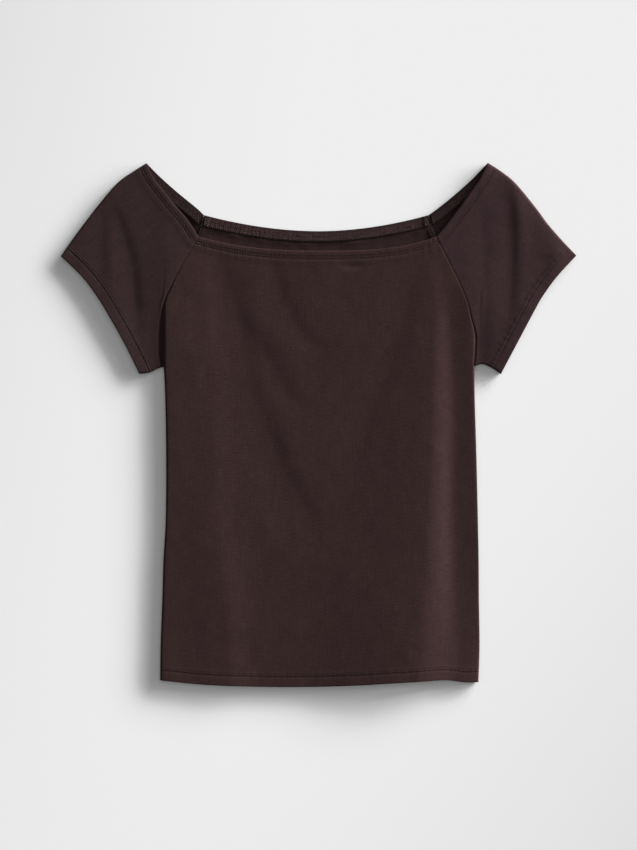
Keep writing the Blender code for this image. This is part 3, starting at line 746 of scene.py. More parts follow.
def upper_relief(x, y):
    """Height of the upper layer's outer face: resting cloth, a swell at the sides, creases and soft waves."""
    swell = EDGE_SWELL * hump(np.abs(x) - EDGE_SWELL_X, EDGE_SWELL_WIDTH)
    soft = sum(height * unevenness(x, y, *size_and_seed) for height, *size_and_seed in SOFT_WAVES)
    return REST_HEIGHT + swell + crease_relief(x, y, CREASES) + soft


def neck_band_relief(from_neck, along):
    """The turned neck edge: a bulge over the elastic, grooves at its stitches, gathers and puckers."""
    bulge = ELASTIC_BULGE * hump(from_neck - ELASTIC_MIDDLE, ELASTIC_END / 2, 4)
    rise = NECK_BAND_RISE * step_down(from_neck, NECK_BAND_DEPTH)
    folded = FOLDED_EDGE_DROP * hump(from_neck, FOLDED_EDGE_SOFTNESS)
    gathers = GATHER * waves(along, GATHER_PITCH, GATHER_STRAYING, GATHER_DRIFT, 31)
    gathers = gathers * step_down(from_neck, ELASTIC_END, GATHER_FADE)
    depth = 0.5 + 0.5 * drift(along, PUCKER_DEPTH_DRIFT, 33)
    past = hump(np.clip(from_neck - NECK_ROWS[1], 0, None), PUCKER_REACH) * (from_neck > ELASTIC_END)
    puckers = PUCKER * depth * past * waves(along, PUCKER_PITCH, PUCKER_STRAYING, NECK_PUCKER_DRIFT, 32)
    eased = NECK_EASE * hump(from_neck - NECK_EASE_DEPTH, NECK_EASE_WIDTH)
    seam = stitch_grooves(from_neck, NECK_ROWS[:1]) + NECK_ROW_PULL * stitch_grooves(from_neck, NECK_ROWS[1:])
    return bulge + rise - folded + gathers + puckers + eased - seam


def hem_relief(from_edge, along):
    """The turned hem: a low step, a soft tunnel between its two rows of stitches, and a rounded edge."""
    rise = HEM_RISE * step_down(from_edge, HEM_DEPTH)
    middle = (HEM_ROWS[0] + HEM_ROWS[1]) / 2
    tunnel = TUNNEL * hump(from_edge - middle, TUNNEL_WIDTH)
    folded = HEM_EDGE_DROP * hump(from_edge, FOLDED_EDGE_SOFTNESS)
    puckers = HEM_PUCKER * hump(from_edge - middle, HEM_PUCKER_WIDTH)
    puckers = puckers * waves(along, PUCKER_PITCH, PUCKER_STRAYING, HEM_PUCKER_DRIFT, 41)
    seam = HEM_ROW_PULL * stitch_grooves(from_edge, HEM_ROWS[:1]) + stitch_grooves(from_edge, HEM_ROWS[1:])
    return rise + tunnel - folded + puckers - seam


def front_relief(x, y):
    return upper_relief(x, y) + neck_band_relief(front_neck_y(x) - y, x) + hem_relief(y - hem_y(x), x)


def build_front():
    band_marks = [ELASTIC_END, NECK_BAND_DEPTH, NECK_BAND_DEPTH + BAND_STEP]
    neck_marks = EDGE_MARKS + groove_marks(NECK_ROWS) + band_marks
    plan, angles, from_side = panel_plan("front", front_neck_y, ARMHOLE_TOPS, neck_marks)
    x, y = plan[..., 0], plan[..., 1]
    seam = np.where(y < UNDERARM_Y, ROLL_MIDDLE + SEAM_SLIT / 2, ARMHOLE_SEAM_HEIGHT)
    roll = rolled(y, np.where(x < 0, *ARMHOLE_TOPS))
    sunk = SEAM_SINK * hump(from_side, SEAM_SOFTNESS) * (1 - roll)

    def lie(height):
        return np.dstack([plan, height - (height - seam) * roll * (1 - np.sin(angles)) - sunk])

    outer = lie(front_relief(x, y))
    base = lie(upper_relief(x, y))
    hem = step_down(y - hem_y(x), HEM_DEPTH)
    band = step_down(front_neck_y(x) - y, NECK_BAND_DEPTH)
    thickness = CLOTH_THICKNESS + (TURNED_THICKNESS - CLOTH_THICKNESS) * hem
    thickness = thickness + (NECK_THICKNESS - CLOTH_THICKNESS) * band
    inner = base - normals(base) * thickness[..., None]
    cut = plan + np.array([0.5, -UNDERARM_Y])
    material = jersey("front_jersey_looks", (1.0, 1.0, 1.0))
    return cloth_object("front_cloth", outer[:, 1:-1], inner[:, 1:-1], cut[:, 1:-1], material)


front_cloth = build_front()
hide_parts("front")


# Sleeves. Each is one panel folded along its top edge and closed under the arm, so it lies as a flattened
# tube. Its cuff is hemmed like the body, its neck edge carries on the elastic band, and beside the lower
# armhole it tucks down against the body.

UNDER_GRID = 0.0036
SLEEVE_MIDDLE_ROWS = 54
BODY_MARKS = [0.006, 0.013]
BODY_STEP = 0.0006
CUFF_SHARE = 0.54
SLEEVE_SEAM_SINK = 0.0001
BODY_SHARE = 0.46
# The sleeves' inner faces are painted darker: painted shade inside the flattened tubes
SLEEVE_INNER_PAINTED_SHADE = (0.58, 0.58, 0.6)

# Creases where the sleeves' under layers are lifted off the surface, in millimetres
UNDER_CREASES = {
    "right": [
        (-250, 220, 0.05, 11, 9), (-233, 180, 0.35, 12, 10), (-220, 130, 0.35, 12, 10),
        (-215, 90, 0.05, 11, 9),
    ],
    "left": [
        (248, 225, 0.05, 11, 9), (235, 185, 0.35, 12, 10), (225, 135, 0.35, 12, 10),
        (217, 95, 0.05, 11, 9),
    ],
}

# The corners of each flattened sleeve, and its edges between them: straight lines that bow out of the
# cloth by a little at a share of their length. Each sleeve's jersey is tinted bluer than the body's, most
# of all on the wearer's left sleeve nearest the light, which is lighter too: partly painted sheen.
CUT["right"].update(
    cuff_bottom=(0.2112, 0.0602),
    cuff_top=(0.3039, 0.199),
    neck_top=(0.203, 0.3088),
    sleeve_tint=(0.94, 1.0, 1.04),
    armhole_height=0.0019,
    armhole=[(0.07, 0.0036), (0.085, 0.0056), (0.104, 0.006), (0.132, 0.0032), (0.15, 0.001)],
    cuff=[(0.24, -0.0052), (0.49, -0.0083), (0.63, -0.009), (0.8, -0.0072)],
    fold=[(0.16, 0.0032), (0.31, 0.0057), (0.55, 0.0087), (0.74, 0.0092), (0.86, 0.0056)],
    front_neck=[(0.17, -0.0028), (0.37, -0.0022), (0.58, -0.001), (0.77, 0.0009)],
    back_neck=[(0.23, -0.0012), (0.54, -0.0011), (0.87, 0.0003)],
    underarm=[(0.3, 0.0006), (0.6, 0.002)],
)
CUT["left"].update(
    cuff_bottom=(0.215, 0.06),
    cuff_top=(0.304, 0.1999),
    neck_top=(0.1998, 0.3092),
    sleeve_tint=(1.05, 1.11, 1.2),
    armhole_height=0.0033,
    armhole=[(0.07, 0.0008), (0.085, 0.0016), (0.1, 0.0018), (0.115, 0.0012), (0.125, 0.0006)],
    cuff=[(0.24, -0.0032), (0.5, -0.0066), (0.63, -0.0076), (0.8, -0.0058)],
    fold=[(0.15, 0.0001), (0.33, 0.0013), (0.49, 0.0043), (0.73, 0.0069), (0.87, 0.0046)],
    front_neck=[(0.12, -0.002), (0.25, -0.0032), (0.55, -0.0029), (0.87, -0.0018)],
    back_neck=[(0.3, -0.0022), (0.6, -0.0024), (0.84, -0.0014)],
    underarm=[(0.14, -0.0036), (0.3, -0.0053), (0.63, -0.0039)],
)


def corner(side, name):
    x, y = CUT[side][name]
    return np.array([x * CUT[side]["sign"], y])


def sleeve_edge(side, name, start, end, shares):
    """A bowed edge of a sleeve from start to end, clockwise round the right sleeve."""
    along = end - start
    length = np.linalg.norm(along)
    outward = np.array([-along[1], along[0]]) / length * -CUT[side]["sign"]
    bow = [(share * length, out) for share, out in CUT[side][name]]
    local = smooth_curve([(0, 0)] + bow + [(length, 0)], shares)
    return start + along / length * local[:, :1] + outward * local[:, 1:]


def cuff_edge(side, shares):
    return sleeve_edge(side, "cuff", corner(side, "cuff_bottom"), corner(side, "cuff_top"), shares)


def neck_share(side, layer):
    """The share of a sleeve's edge towards the body that its neck edge takes, before the raglan seam."""
    raglan = f"{layer}_raglan"
    neck_length = np.linalg.norm(seam_end(side, raglan) - corner(side, "neck_top"))
    return neck_length / (neck_length + seam_length(side, raglan, 30))


def sleeve_body_edge(side, layer, shares):
    """A sleeve's edge towards the body, down from the neck's top corner."""
    turn = neck_share(side, layer)
    ends = corner(side, "neck_top"), seam_end(side, f"{layer}_raglan")
    on_neck = sleeve_edge(side, f"{layer}_neck", *ends, np.clip(shares / turn, 0, 1))
    on_seam = seam_points(side, f"{layer}_raglan", 1 - np.clip((shares - turn) / (1 - turn), 0, 1))
    return np.where((shares < turn)[:, None], on_neck, on_seam)


def sleeve_neck(side, layer, start, end, steps):
    """Points along a sleeve's neck edge between two shares of its length."""
    turn = neck_share(side, layer)
    return sleeve_body_edge(side, layer, np.linspace(turn * start, turn * end, steps))


def distance_to(line, points):
    """The distance in plan from each point to the nearest point of a finely drawn line."""
    nearest = np.full(points.shape[:-1], np.inf)
    for start, end in zip(line, line[1:]):
        along = end - start
        share = np.clip(((points - start) @ along) / (along @ along), 0, 1)
        nearest = np.minimum(nearest, np.linalg.norm(points - start - share[..., None] * along, axis=-1))
    return nearest


def sleeve_plan(side, layer, across, along):
    """Plan points of a sleeve's layer: across from its fold to the underarm, along from cuff to body.

    along holds a row of shares for each column, so that rows keep their distance from the cuff.
    """
    cuff_top, cuff_bottom, neck_top = (corner(side, name) for name in ("cuff_top", "cuff_bottom", "neck_top"))
    underarm_end = seam_end(side, "side_seam")
    shares = along.ravel()
    fold = sleeve_edge(side, "fold", cuff_top, neck_top, shares)
    underarm = sleeve_edge(side, "underarm", underarm_end, cuff_bottom, 1 - shares)
    fold, underarm = (edge.reshape(along.shape + (2,)) for edge in (fold, underarm))
    cuff = cuff_edge(side, 1 - across)
    body = sleeve_body_edge(side, layer, across)
    w = across[None, :, None]
    t = along[..., None]
    between_sides = (1 - w) * fold + w * underarm
    between_ends = (1 - t) * cuff[None] + t * body[None]
    corners = (1 - t) * ((1 - w) * cuff_top + w * cuff_bottom) + t * ((1 - w) * neck_top + w * underarm_end)
    return between_sides + between_ends - corners


def sleeve_rows(side, layer, across):
    """Shares along each column: close rows in the cuff's hem and near the neck or seam, even ones between."""
    cuff = cuff_edge(side, 1 - across)
    body = sleeve_body_edge(side, layer, across)
    lengths = np.linalg.norm(body - cuff, axis=1)
    near_cuff = filled(HEM_MARKS, GRID)
    near_body = filled(EDGE_MARKS + BODY_MARKS, BODY_STEP)
    start = near_cuff[:, None] * np.minimum(1, CUFF_SHARE * lengths / near_cuff[-1]) / lengths
    end = 1 - near_body[::-1, None] * np.minimum(1, BODY_SHARE * lengths / near_body[-1]) / lengths
    steps = np.linspace(0, 1, SLEEVE_MIDDLE_ROWS + 1)[1:-1, None]
    middle = start[-1] + (end[0] - start[-1]) * steps
    return np.concatenate([start, middle, end])


def sleeve_relief(side, plan, detailed):
    """Height of a sleeve's upper face, dipping beside the lower armhole."""
    x, y = plan[..., 0], plan[..., 1]
    height = upper_relief(x, y)
    seam = seam_points(side, "front_raglan", np.linspace(0, 1, 80))
    if detailed:
        neck = sleeve_neck(side, "front", 0, 0.999, 40)
        cuff = cuff_edge(side, np.linspace(0, 1, 40))
        along_neck = (plan - neck[0]) @ unit(neck[-1] - neck[0])
        along_cuff = (plan - cuff[0]) @ unit(cuff[-1] - cuff[0])
        height = height + neck_band_relief(distance_to(neck, plan), along_neck)
        height = height + hem_relief(distance_to(cuff, plan), along_cuff)
    from_seam = np.maximum(np.abs(x) - np.interp(y, seam[:, 1], np.abs(seam[:, 0])), 0)
    armhole = np.array(CUT[side]["armhole"])
    near = hump(from_seam, np.interp(y, armhole[:, 0], armhole[:, 1]), 4)
    tucked = rolled(y, ARMHOLE_TOPS[side == "left"] - ROLL_FADE)
    height = height - (height - CUT[side]["armhole_height"]) * near * tucked
    sunk = SLEEVE_SEAM_SINK * hump(distance_to(seam, plan), SEAM_SOFTNESS)
    return height - sunk * (1 - tucked)


def within_rim(directions, rim):
    """Directions turned into the upright surface through a rim, whose own plan directions are given."""
    level = (directions[:, :2] * rim).sum(axis=1, keepdims=True) * rim
    return unit(np.column_stack([level, directions[:, 2]]))


def sleeve_layer(side, layer, step):
    """Plan points of one layer and the rise of its rolled edges."""
    roll = np.linspace(0, math.pi / 2, ROLL_STEPS)
    reach = ROLL_WIDTH * (1 - np.cos(roll))
    turn = neck_share(side, layer)
    full = lengths_along(sleeve_body_edge(side, layer, np.linspace(0, 1, 80)))[-1]
    first = reach[-1] / full
    on_neck = np.linspace(first, turn, int(turn * full / step))[1:]
    on_seam = np.linspace(turn, 1 - first, int((1 - turn) * full / step))[1:-1]
    flat = np.concatenate([on_neck, on_seam])
    near = np.concatenate([reach / full, flat, 1 - reach[::-1] / full])
    along = sleeve_rows(side, layer, near)
    ends = sleeve_plan(side, layer, np.array([0.0, 1.0]), np.stack([along[:, 0], along[:, -1]], axis=1))
    widths = np.linalg.norm(ends[:, 1] - ends[:, 0], axis=1)
    rows = []
    for row, width in zip(along, widths):
        close = reach / width
        across = np.concatenate([close, flat, 1 - close[::-1]])
        across[len(close) : -len(close)] = np.clip(flat, close[-1] * 1.02, 1 - close[-1] * 1.02)
        rows.append(sleeve_plan(side, layer, across, row[None])[0])
    rise = np.sin(np.concatenate([roll, np.full(len(flat), math.pi / 2), roll[::-1]]))
    return np.array(rows), rise


def build_sleeve(side):
    sign = CUT[side]["sign"]
    top, top_rise = sleeve_layer(side, "front", GRID)
    under, under_rise = sleeve_layer(side, "back", UNDER_GRID)
    lower_plan = under[:, -2:0:-1]
    lower_rise = under_rise[-2:0:-1]

    lifted = crease_relief(lower_plan[..., 0], lower_plan[..., 1], UNDER_CREASES)

    def lie(detailed):
        height = sleeve_relief(side, top, detailed)
        upper = np.dstack([top, ROLL_MIDDLE + (height - ROLL_MIDDLE) * top_rise])
        down = ROLL_MIDDLE - (ROLL_MIDDLE - BACK_LIFT - lifted) * lower_rise
        return np.concatenate([upper, np.dstack([lower_plan, down])], axis=1)

    outer, base = lie(True), lie(False)
    plan = base[..., :2]
    hem = step_down(distance_to(cuff_edge(side, np.linspace(0, 1, 40)), plan), HEM_DEPTH)
    neck = sleeve_neck(side, "front", 0, 0.999, 40)
    band = step_down(distance_to(neck, top), NECK_BAND_DEPTH) * top_rise**2
    thickness = CLOTH_THICKNESS + (TURNED_THICKNESS - CLOTH_THICKNESS) * hem
    thickness[:, : top.shape[1]] += (NECK_THICKNESS - CLOTH_THICKNESS) * band
    inward = normals(base, ring=True) * sign
    rims = np.concatenate([tangents(top, 1), tangents(under, 1)[:, -2:0:-1]], axis=1)
    for end in (0, -1):
        inward[end] = within_rim(inward[end], rims[end])
    inner = base + inward * thickness[..., None]
    cuff_way = unit(corner(side, "cuff_top") - corner(side, "cuff_bottom"))
    grain = np.array([cuff_way, [-cuff_way[1], cuff_way[0]]]).T
    cut = (plan - corner(side, "cuff_bottom")) @ grain + np.array([1.0 + 0.5 * sign, 0.3])
    material = jersey(f"{side}_sleeve_jersey_looks", CUT[side]["sleeve_tint"])
    # Its inner faces take a darker jersey: painted shade under the upper layer
    inner_face_looks = jersey(f"{side}_sleeve_inner_painted_shade_looks", SLEEVE_INNER_PAINTED_SHADE, turned=True)
    return cloth_object(f"{side}_sleeve_cloth", outer, inner, cut, material, ring=True, inner_face_looks=inner_face_looks)


for side in CUT:
    sleeve_cloth = build_sleeve(side)
    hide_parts(f"{side}_sleeve")


# Neck turnings. Inside the opening the neck's turned-in edge shows on the back and on the sleeves' under
# layers. It holds the elastic, its raw edge is overlocked, and the looper thread of the two stitch rows
# zigzags over it. The allowances of the raglan seams make a lump at the ends of the back's length. The
# sleeves' turnings and their threads are painted darker as shade, and a much darker thread along the raw
# edge is a painted shadow.

TURNING_INSET = 0.0006
TURNING_GAP = 0.0016
SLEEVE_TURNING_SPAN = (0.11, 0.975)
SLEEVE_TURNING_SLANT = 0.45
TURNING_BASE = 0.00115
TURNING_TINT = (0.84, 0.9, 0.96)
# The sleeves' turnings are painted darker than the back's: painted shade under the sleeves' upper layers
SLEEVE_TURNING_PAINTED_SHADE = (0.6, 0.66, 0.7)
THREAD_LIFT = 2.6
TURNING_THICKNESS = 0.0005
TURNING_GRID = 0.0012
STRIP_STEP = 0.0006
TURNING_MIDDLE = 0.0031
TURNING_BULGE = 0.00015
TURNING_MARKS = [0, 0.0002, 0.0005, 0.001, ELASTIC_END, TURNING_DEPTH - 0.0003, TURNING_DEPTH]
SLANT_LENGTH = 0.03
LUMP_WIDTH = 0.0055
LUMP_FADE = 0.0008
LUMP_HEIGHT = 0.0005
FRAY = 0.00004
FRAY_START = 0.0085
FRAY_FADE = 0.002
THREAD_RADIUS = 0.00011
THREAD_SIDES = 6
LOOPER_PITCH = 0.0026
LOOPER_RADIUS = 0.00017
EDGE_LOOPER_RADIUS = 0.0003
OVERLOCK_PITCH = 0.0024
OVERLOCK_TOP = 0.003
OVERLOCK_LOW = TURNING_DEPTH - 0.0002
LOOPER_INSET = 0.0008
LOOPER_STEPS = 8
LOOPER_SWING = 1.25
LOOPER_UNEVENNESS = 0.1
THREAD_COLOUR = (0.033, 0.0185, 0.0185)
THREAD_TWIST = 0.0009
THREAD_RELIEF = 0.00003
THREAD_GRAIN = 700.0
THREAD_SHADES = (0.75, 1.25)
# The edge looper's thread is painted much darker: a painted shadow along the turning's raw edge
EDGE_THREAD_PAINTED_SHADOW = 0.3


def thread_looks(name, tint):
    """Matte polyester thread of two twisted plies."""
    material, sockets = plain_looks(name, Specular_IOR_Level=0.1)
    place, along, around = cloth_place(material)
    plies = (along * (1 / THREAD_TWIST) + around * (0.5 / THREAD_RADIUS / math.pi)).wave()
    flat_noise = {"noise_dimensions": "2D"}
    shade = place.node("ShaderNodeTexNoise", flat_noise, Vector=place, Scale=THREAD_GRAIN, Detail=1.0)
    darkest, lightest = ((*np.multiply(THREAD_COLOUR, tint * light), 1.0) for light in THREAD_SHADES)
    # Colour darkens and lightens with the plies' twist, a painted shade between plies, and with a random tone
    (0.5 + plies * 0.25 + (shade - 0.5) * 0.8).clamped().mix(darkest, lightest).to(sockets["Base Color"])
    (0.72 + plies * 0.06).to(sockets["Roughness"])
    (plies * THREAD_RELIEF).bumped().to(sockets["Normal"])
    return material


def threads(name, paths, radii, material):
    """Threads as closed tubes along paths of equally many points. radii gives the thickness at each point."""
    paths = np.asarray(paths, float)
    count, length = paths.shape[:2]
    way = tangents(paths, 1)
    beside = unit(np.cross(way, [0.0, 0.0, 1.0]))
    above = np.cross(beside, way)
    turn = np.arange(THREAD_SIDES)
    after = (turn + 1) % THREAD_SIDES
    angle = 2 * np.pi * turn / THREAD_SIDES
    ring = beside[:, :, None] * np.cos(angle)[:, None] + above[:, :, None] * np.sin(angle)[:, None]
    tube = (paths[:, :, None] + ring * np.asarray(radii)[:, None, None]).reshape(count, -1, 3)
    points = np.concatenate([tube, paths[:, :1], paths[:, -1:]], axis=1)
    first = (np.arange(count) * points.shape[1])[:, None, None]
    steps = np.arange(length - 1)[:, None, None] * THREAD_SIDES
    sides = np.stack([turn, after, after + THREAD_SIDES, turn + THREAD_SIDES], axis=-1) + steps
    sides = (sides.reshape(1, -1, 4) + first).reshape(-1, 4)
    last = (length - 1) * THREAD_SIDES
    start = np.full(THREAD_SIDES, length * THREAD_SIDES)
    caps = [(start, after, turn), (start + 1, last + turn, last + after)]
    caps = (np.concatenate([np.stack(cap, axis=-1) for cap in caps]) + first).reshape(-1, 3)
    run = np.array([lengths_along(path) for path in paths])
    along = np.repeat(run[:, :, None], THREAD_SIDES, axis=2)
    around = np.broadcast_to(angle * THREAD_RADIUS, along.shape)
    tube_cloth = np.stack([along, around], axis=-1).reshape(count, -1, 2)
    tips = np.stack([run[:, [0, -1]], np.zeros((count, 2))], axis=-1)
    flat = np.concatenate([tube_cloth, tips], axis=1).reshape(-1, 2)
    return surface(name, points.reshape(-1, 3), sides.tolist() + caps.tolist(), flat, material)


def sew(name, slot, path, radius, looks):
    """A thread of even thickness along one path."""
    piece = threads(name, path, np.full(path.shape[1], radius), looks)
    return piece


def right_hand(line):
    """The direction to the right of a line in plan, at each of its points."""
    way = tangents(line[:, None], 0)[:, 0]
    return np.stack([way[:, 1], -way[:, 0]], axis=-1)


class Strip:
    """A strip of cloth lying inside the opening, from a line in plan towards its right-hand side.

    Near a slanted end its points move along the strip by the slant times their depth, up to a seam.
    """

    def __init__(self, line, slants=(0.0, 0.0)):
        self.slants = slants
        lengths = lengths_along(line)
        self.length = lengths[-1]
        self.run = np.linspace(0, self.length, max(int(self.length / TURNING_GRID), 2) + 1)
        self.line = points_along(line, lengths, self.run)
        self.across = right_hand(self.line)

    def place(self, along, depth):
        """Points in plan at distances along the strip and across it."""
        along = np.broadcast_to(along, np.shape(depth))
        start = points_along(self.line, self.run, along)
        across = points_along(self.across, self.run, along)
        forwards = np.stack([-across[..., 1], across[..., 0]], axis=-1)
        slant = self.slants[0] * (1 - smooth_step(along / SLANT_LENGTH))
        slant = slant + self.slants[1] * (1 - smooth_step((self.length - along) / SLANT_LENGTH))
        return start + across * np.asarray(depth)[..., None] + forwards * (slant * depth)[..., None]

    def cloth(self, name, marks, top, material, columns_along=False):
        """The strip's cloth, with its upper face at the height that top gives."""
        depths = filled(marks, STRIP_STEP)
        along = np.repeat(self.run[:, None], len(depths), axis=1)
        across = np.broadcast_to(depths, along.shape)
        plan = self.place(along, across)
        upper = np.dstack([plan, top(along, across)])
        lower = np.dstack([plan, np.full(along.shape, TURNING_BASE)])
        cut = np.stack([across, along] if columns_along else [along, across], axis=-1)
        return cloth_object(name, upper, lower, cut, material)


def zigzag(strip, low, high, pitch, top, phase=0.0):
    """A looper thread that runs to and fro across a strip between two depths."""
    along = np.arange(LOOPER_INSET, strip.length - LOOPER_INSET, pitch / LOOPER_STEPS)
    swing = np.clip(LOOPER_SWING * np.sin(2 * np.pi * (along / pitch + phase)), -1, 1)
    uneven = 1 + LOOPER_UNEVENNESS * drift(along, 0.004, 51)
    depth = (low + high) / 2 + (high - low) / 2 * swing * uneven
    rise = THREAD_RADIUS * (0.55 + 0.35 * np.cos(2 * np.pi * (along / pitch * 2 + phase)))
    return np.column_stack([strip.place(along, depth), top(along, depth) + rise])[None]


def turning_top(strip, lumps):
    """The height of a turning's upper face, by the distances along it and across it."""

    def top(along, depth):
        bulge = TURNING_BULGE * hump(depth - TURNING_MIDDLE, TURNING_MIDDLE, 4)
        gathers = GATHER * waves(along, GATHER_PITCH, GATHER_STRAYING, GATHER_DRIFT, 61)
        from_end = np.minimum(along, strip.length - along)
        lump = LUMP_HEIGHT * lumps * step_down(from_end, LUMP_WIDTH, LUMP_FADE)
        frayed = smooth_step((depth - FRAY_START) / FRAY_FADE)
        frayed = FRAY * np.sin(2 * np.pi * along / OVERLOCK_PITCH) * frayed
        return TURNING_BASE + TURNING_THICKNESS + bulge + gathers + lump + frayed

    return top


def lay_turning(name, slot, line, lumps, slants, tint):
    """One length of the neck's turning with its threads."""
    strip = Strip(line, slants)
    top = turning_top(strip, lumps)
    turning = strip.cloth(f"{name}_cloth", TURNING_MARKS, top, jersey(f"{name}_looks", tint))
    # The threads follow the turning's tint, so on the sleeves they are painted darker as shade too
    yarn = thread_looks(f"{name}_thread_looks", THREAD_LIFT * tint[0])
    # A much darker thread along the raw edge: painted shadow
    painted_shadow_yarn = thread_looks(f"{name}_painted_shadow_thread_looks", EDGE_THREAD_PAINTED_SHADOW)
    overlock = (OVERLOCK_TOP, OVERLOCK_LOW, OVERLOCK_PITCH, top)
    rows = (NECK_ROWS[0] - 0.0006, NECK_ROWS[1] + 0.0004, LOOPER_PITCH, top)
    edge = (OVERLOCK_LOW - 0.001, OVERLOCK_LOW + 0.0004, OVERLOCK_PITCH, top)
    yarns = [
        (zigzag(strip, *overlock), THREAD_RADIUS, yarn),
        (zigzag(strip, *overlock, 0.5), THREAD_RADIUS, yarn),
        (zigzag(strip, *rows, 0.2), LOOPER_RADIUS, yarn),
        (zigzag(strip, *edge, 0.25), EDGE_LOOPER_RADIUS, painted_shadow_yarn),
    ]
    sewn = [sew(f"{name}_thread_{number + 1}", slot, *thread) for number, thread in enumerate(yarns)]
    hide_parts(name)


def turned_neck_line(side):
    """The neck edge of a sleeve's under layer, in the way that puts the sleeve on its right-hand side."""
    line = sleeve_neck(side, "back", *SLEEVE_TURNING_SPAN, 60)[:: -CUT[side]["sign"]]
    return line + right_hand(line) * TURNING_INSET


neck_ends = seam_end("right", "back_raglan")[0], seam_end("left", "back_raglan")[0]
neck_x = np.linspace(neck_ends[0] + TURNING_GAP, neck_ends[1] - TURNING_GAP, 200)
lay_turning(
    "back_neck_turning",
    "back_turning_jersey",
    np.stack([neck_x, back_neck_y(neck_x) - TURNING_INSET], axis=-1),
    lumps=True,
    slants=(0.0, 0.0),
    tint=TURNING_TINT,
)
for side, slants in (("right", (0.0, SLEEVE_TURNING_SLANT)), ("left", (-SLEEVE_TURNING_SLANT, 0.0))):
    lay_turning(
        f"{side}_neck_turning",
        f"{side}_turning_jersey",
        turned_neck_line(side),
        lumps=False,
        slants=slants,
        tint=SLEEVE_TURNING_PAINTED_SHADE,
    )


# Seam allowances. The back raglan seams' allowances, 5.5 mm wide, lie towards the back below the turning.
# Their raw edges are overlocked, and two threads zigzag over each.

ALLOWANCE_WIDTH = 0.0055
ALLOWANCE_START = 0.0153
ALLOWANCE_LENGTH = 0.03
ALLOWANCE_BESIDE_SEAM = 0.00035
ALLOWANCE_MARKS = [0, 0.0003, ALLOWANCE_WIDTH - 0.0003, ALLOWANCE_WIDTH]
ALLOWANCE_FRAY = 0.0001
ALLOWANCE_FRAY_START = 0.003
ALLOWANCE_WAVE = 0.00005
ALLOWANCE_THREAD = 1.1
ALLOWANCE_THREAD_REACH = (0.0009, ALLOWANCE_WIDTH - 0.0001)


def allowance_top(along, depth):
    """The height of an allowance's upper face, by the distances along it and across it."""
    frayed = smooth_step((depth - ALLOWANCE_FRAY_START) / FRAY_FADE)
    frayed = ALLOWANCE_FRAY * np.sin(2 * np.pi * along / OVERLOCK_PITCH) * frayed
    wave = ALLOWANCE_WAVE * unevenness(along, depth, 0.005, 0.003, 71)
    return TURNING_BASE + TURNING_THICKNESS + frayed + wave


for side in CUT:
    slot = f"{side}_allowance_jersey"
    seam = seam_points(side, "back_raglan", np.linspace(1, 0, 400))
    part = np.linspace(ALLOWANCE_START, ALLOWANCE_START + ALLOWANCE_LENGTH, 40)
    line = points_along(seam, lengths_along(seam), part)
    line[:, 0] -= CUT[side]["sign"] * ALLOWANCE_BESIDE_SEAM
    strip = Strip(line[:: CUT[side]["sign"]])
    cloth = (ALLOWANCE_MARKS, allowance_top, jersey(f"{side}_allowance_looks", TURNING_TINT))
    allowance = strip.cloth(f"{side}_allowance_cloth", *cloth, columns_along=True)
    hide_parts(f"{side}_seam_allowance")
    yarn = thread_looks(f"{side}_allowance_thread_looks", ALLOWANCE_THREAD)
    for number, phase in enumerate((0.0, 0.5)):
        path = zigzag(strip, *ALLOWANCE_THREAD_REACH, OVERLOCK_PITCH, allowance_top, phase)
        sew(f"{side}_allowance_thread_{number + 1}", slot, path, THREAD_RADIUS, yarn)


# Stitches. Twin needle rows hold the hem, the cuffs and the neck edge, in brown thread that sinks into the
# jersey, about eight stitches to an inch. The thread is painted darker, partly as the needle holes' shade.
# They show outside on the front and on the back alike.

STITCH_PITCH = 0.0031
STITCH_LENGTH = 0.0017
STITCH_RADIUS = 0.00028
STITCH_ARCH = 0.00016
HEM_ROWS_INSET = 0.004
NECK_ROWS_INSET = 0.003
FRONT_NECK_ROW_ENDS = (-0.1385, 0.1365)
SLEEVE_NECK_ROW_SPAN = (0.1, 0.97)
CUFF_ROW_SPAN = (0.035, 0.965)
# The stitches' thread is painted darker: its own dark brown, and painted shade of the needle holes
STITCH_PAINTED_SHADE = 0.65
STITCH_TAPER = np.array([0.45, 0.9, 1.0, 0.9, 0.45])
STITCH_RADII = STITCH_TAPER * STITCH_RADIUS


def stitches(line, height, above=1):
    """Paths of the stitches in one row along a line in plan. They lie on the cloth, or below it."""
    lengths = lengths_along(line)
    middles = np.arange(STITCH_PITCH / 2, lengths[-1] - STITCH_PITCH / 2, STITCH_PITCH)
    offsets = np.linspace(-0.5, 0.5, len(STITCH_TAPER))
    plan = points_along(line, lengths, middles[:, None] + offsets * STITCH_LENGTH)
    arch = STITCH_ARCH * (1 - 6 * offsets**2)
    return np.dstack([plan, height(plan) + above * arch])


def beside(line, distance, towards):
    """A line moved sideways in plan, towards a point."""
    sideways = right_hand(line)
    middle = len(line) // 2
    facing = np.sign((np.asarray(towards) - line[middle]) @ sideways[middle])
    return line + sideways * distance * facing


def under_height(plan):
    """The back's outer side at a stitch row, where the cloth is drawn up a little."""
    return np.full(plan.shape[:-1], BACK_LIFT + STITCH_SINK)


def front_height(plan):
    return front_relief(plan[..., 0], plan[..., 1])


def level_rows(start, end, steps, edge_y, rows, height, above=1):
    """The stitches of rows beside a hem or neck edge between two places along X."""
    x = np.linspace(start, end, steps)
    return [stitches(np.column_stack([x, edge_y(x) + row]), height, above) for row in rows]


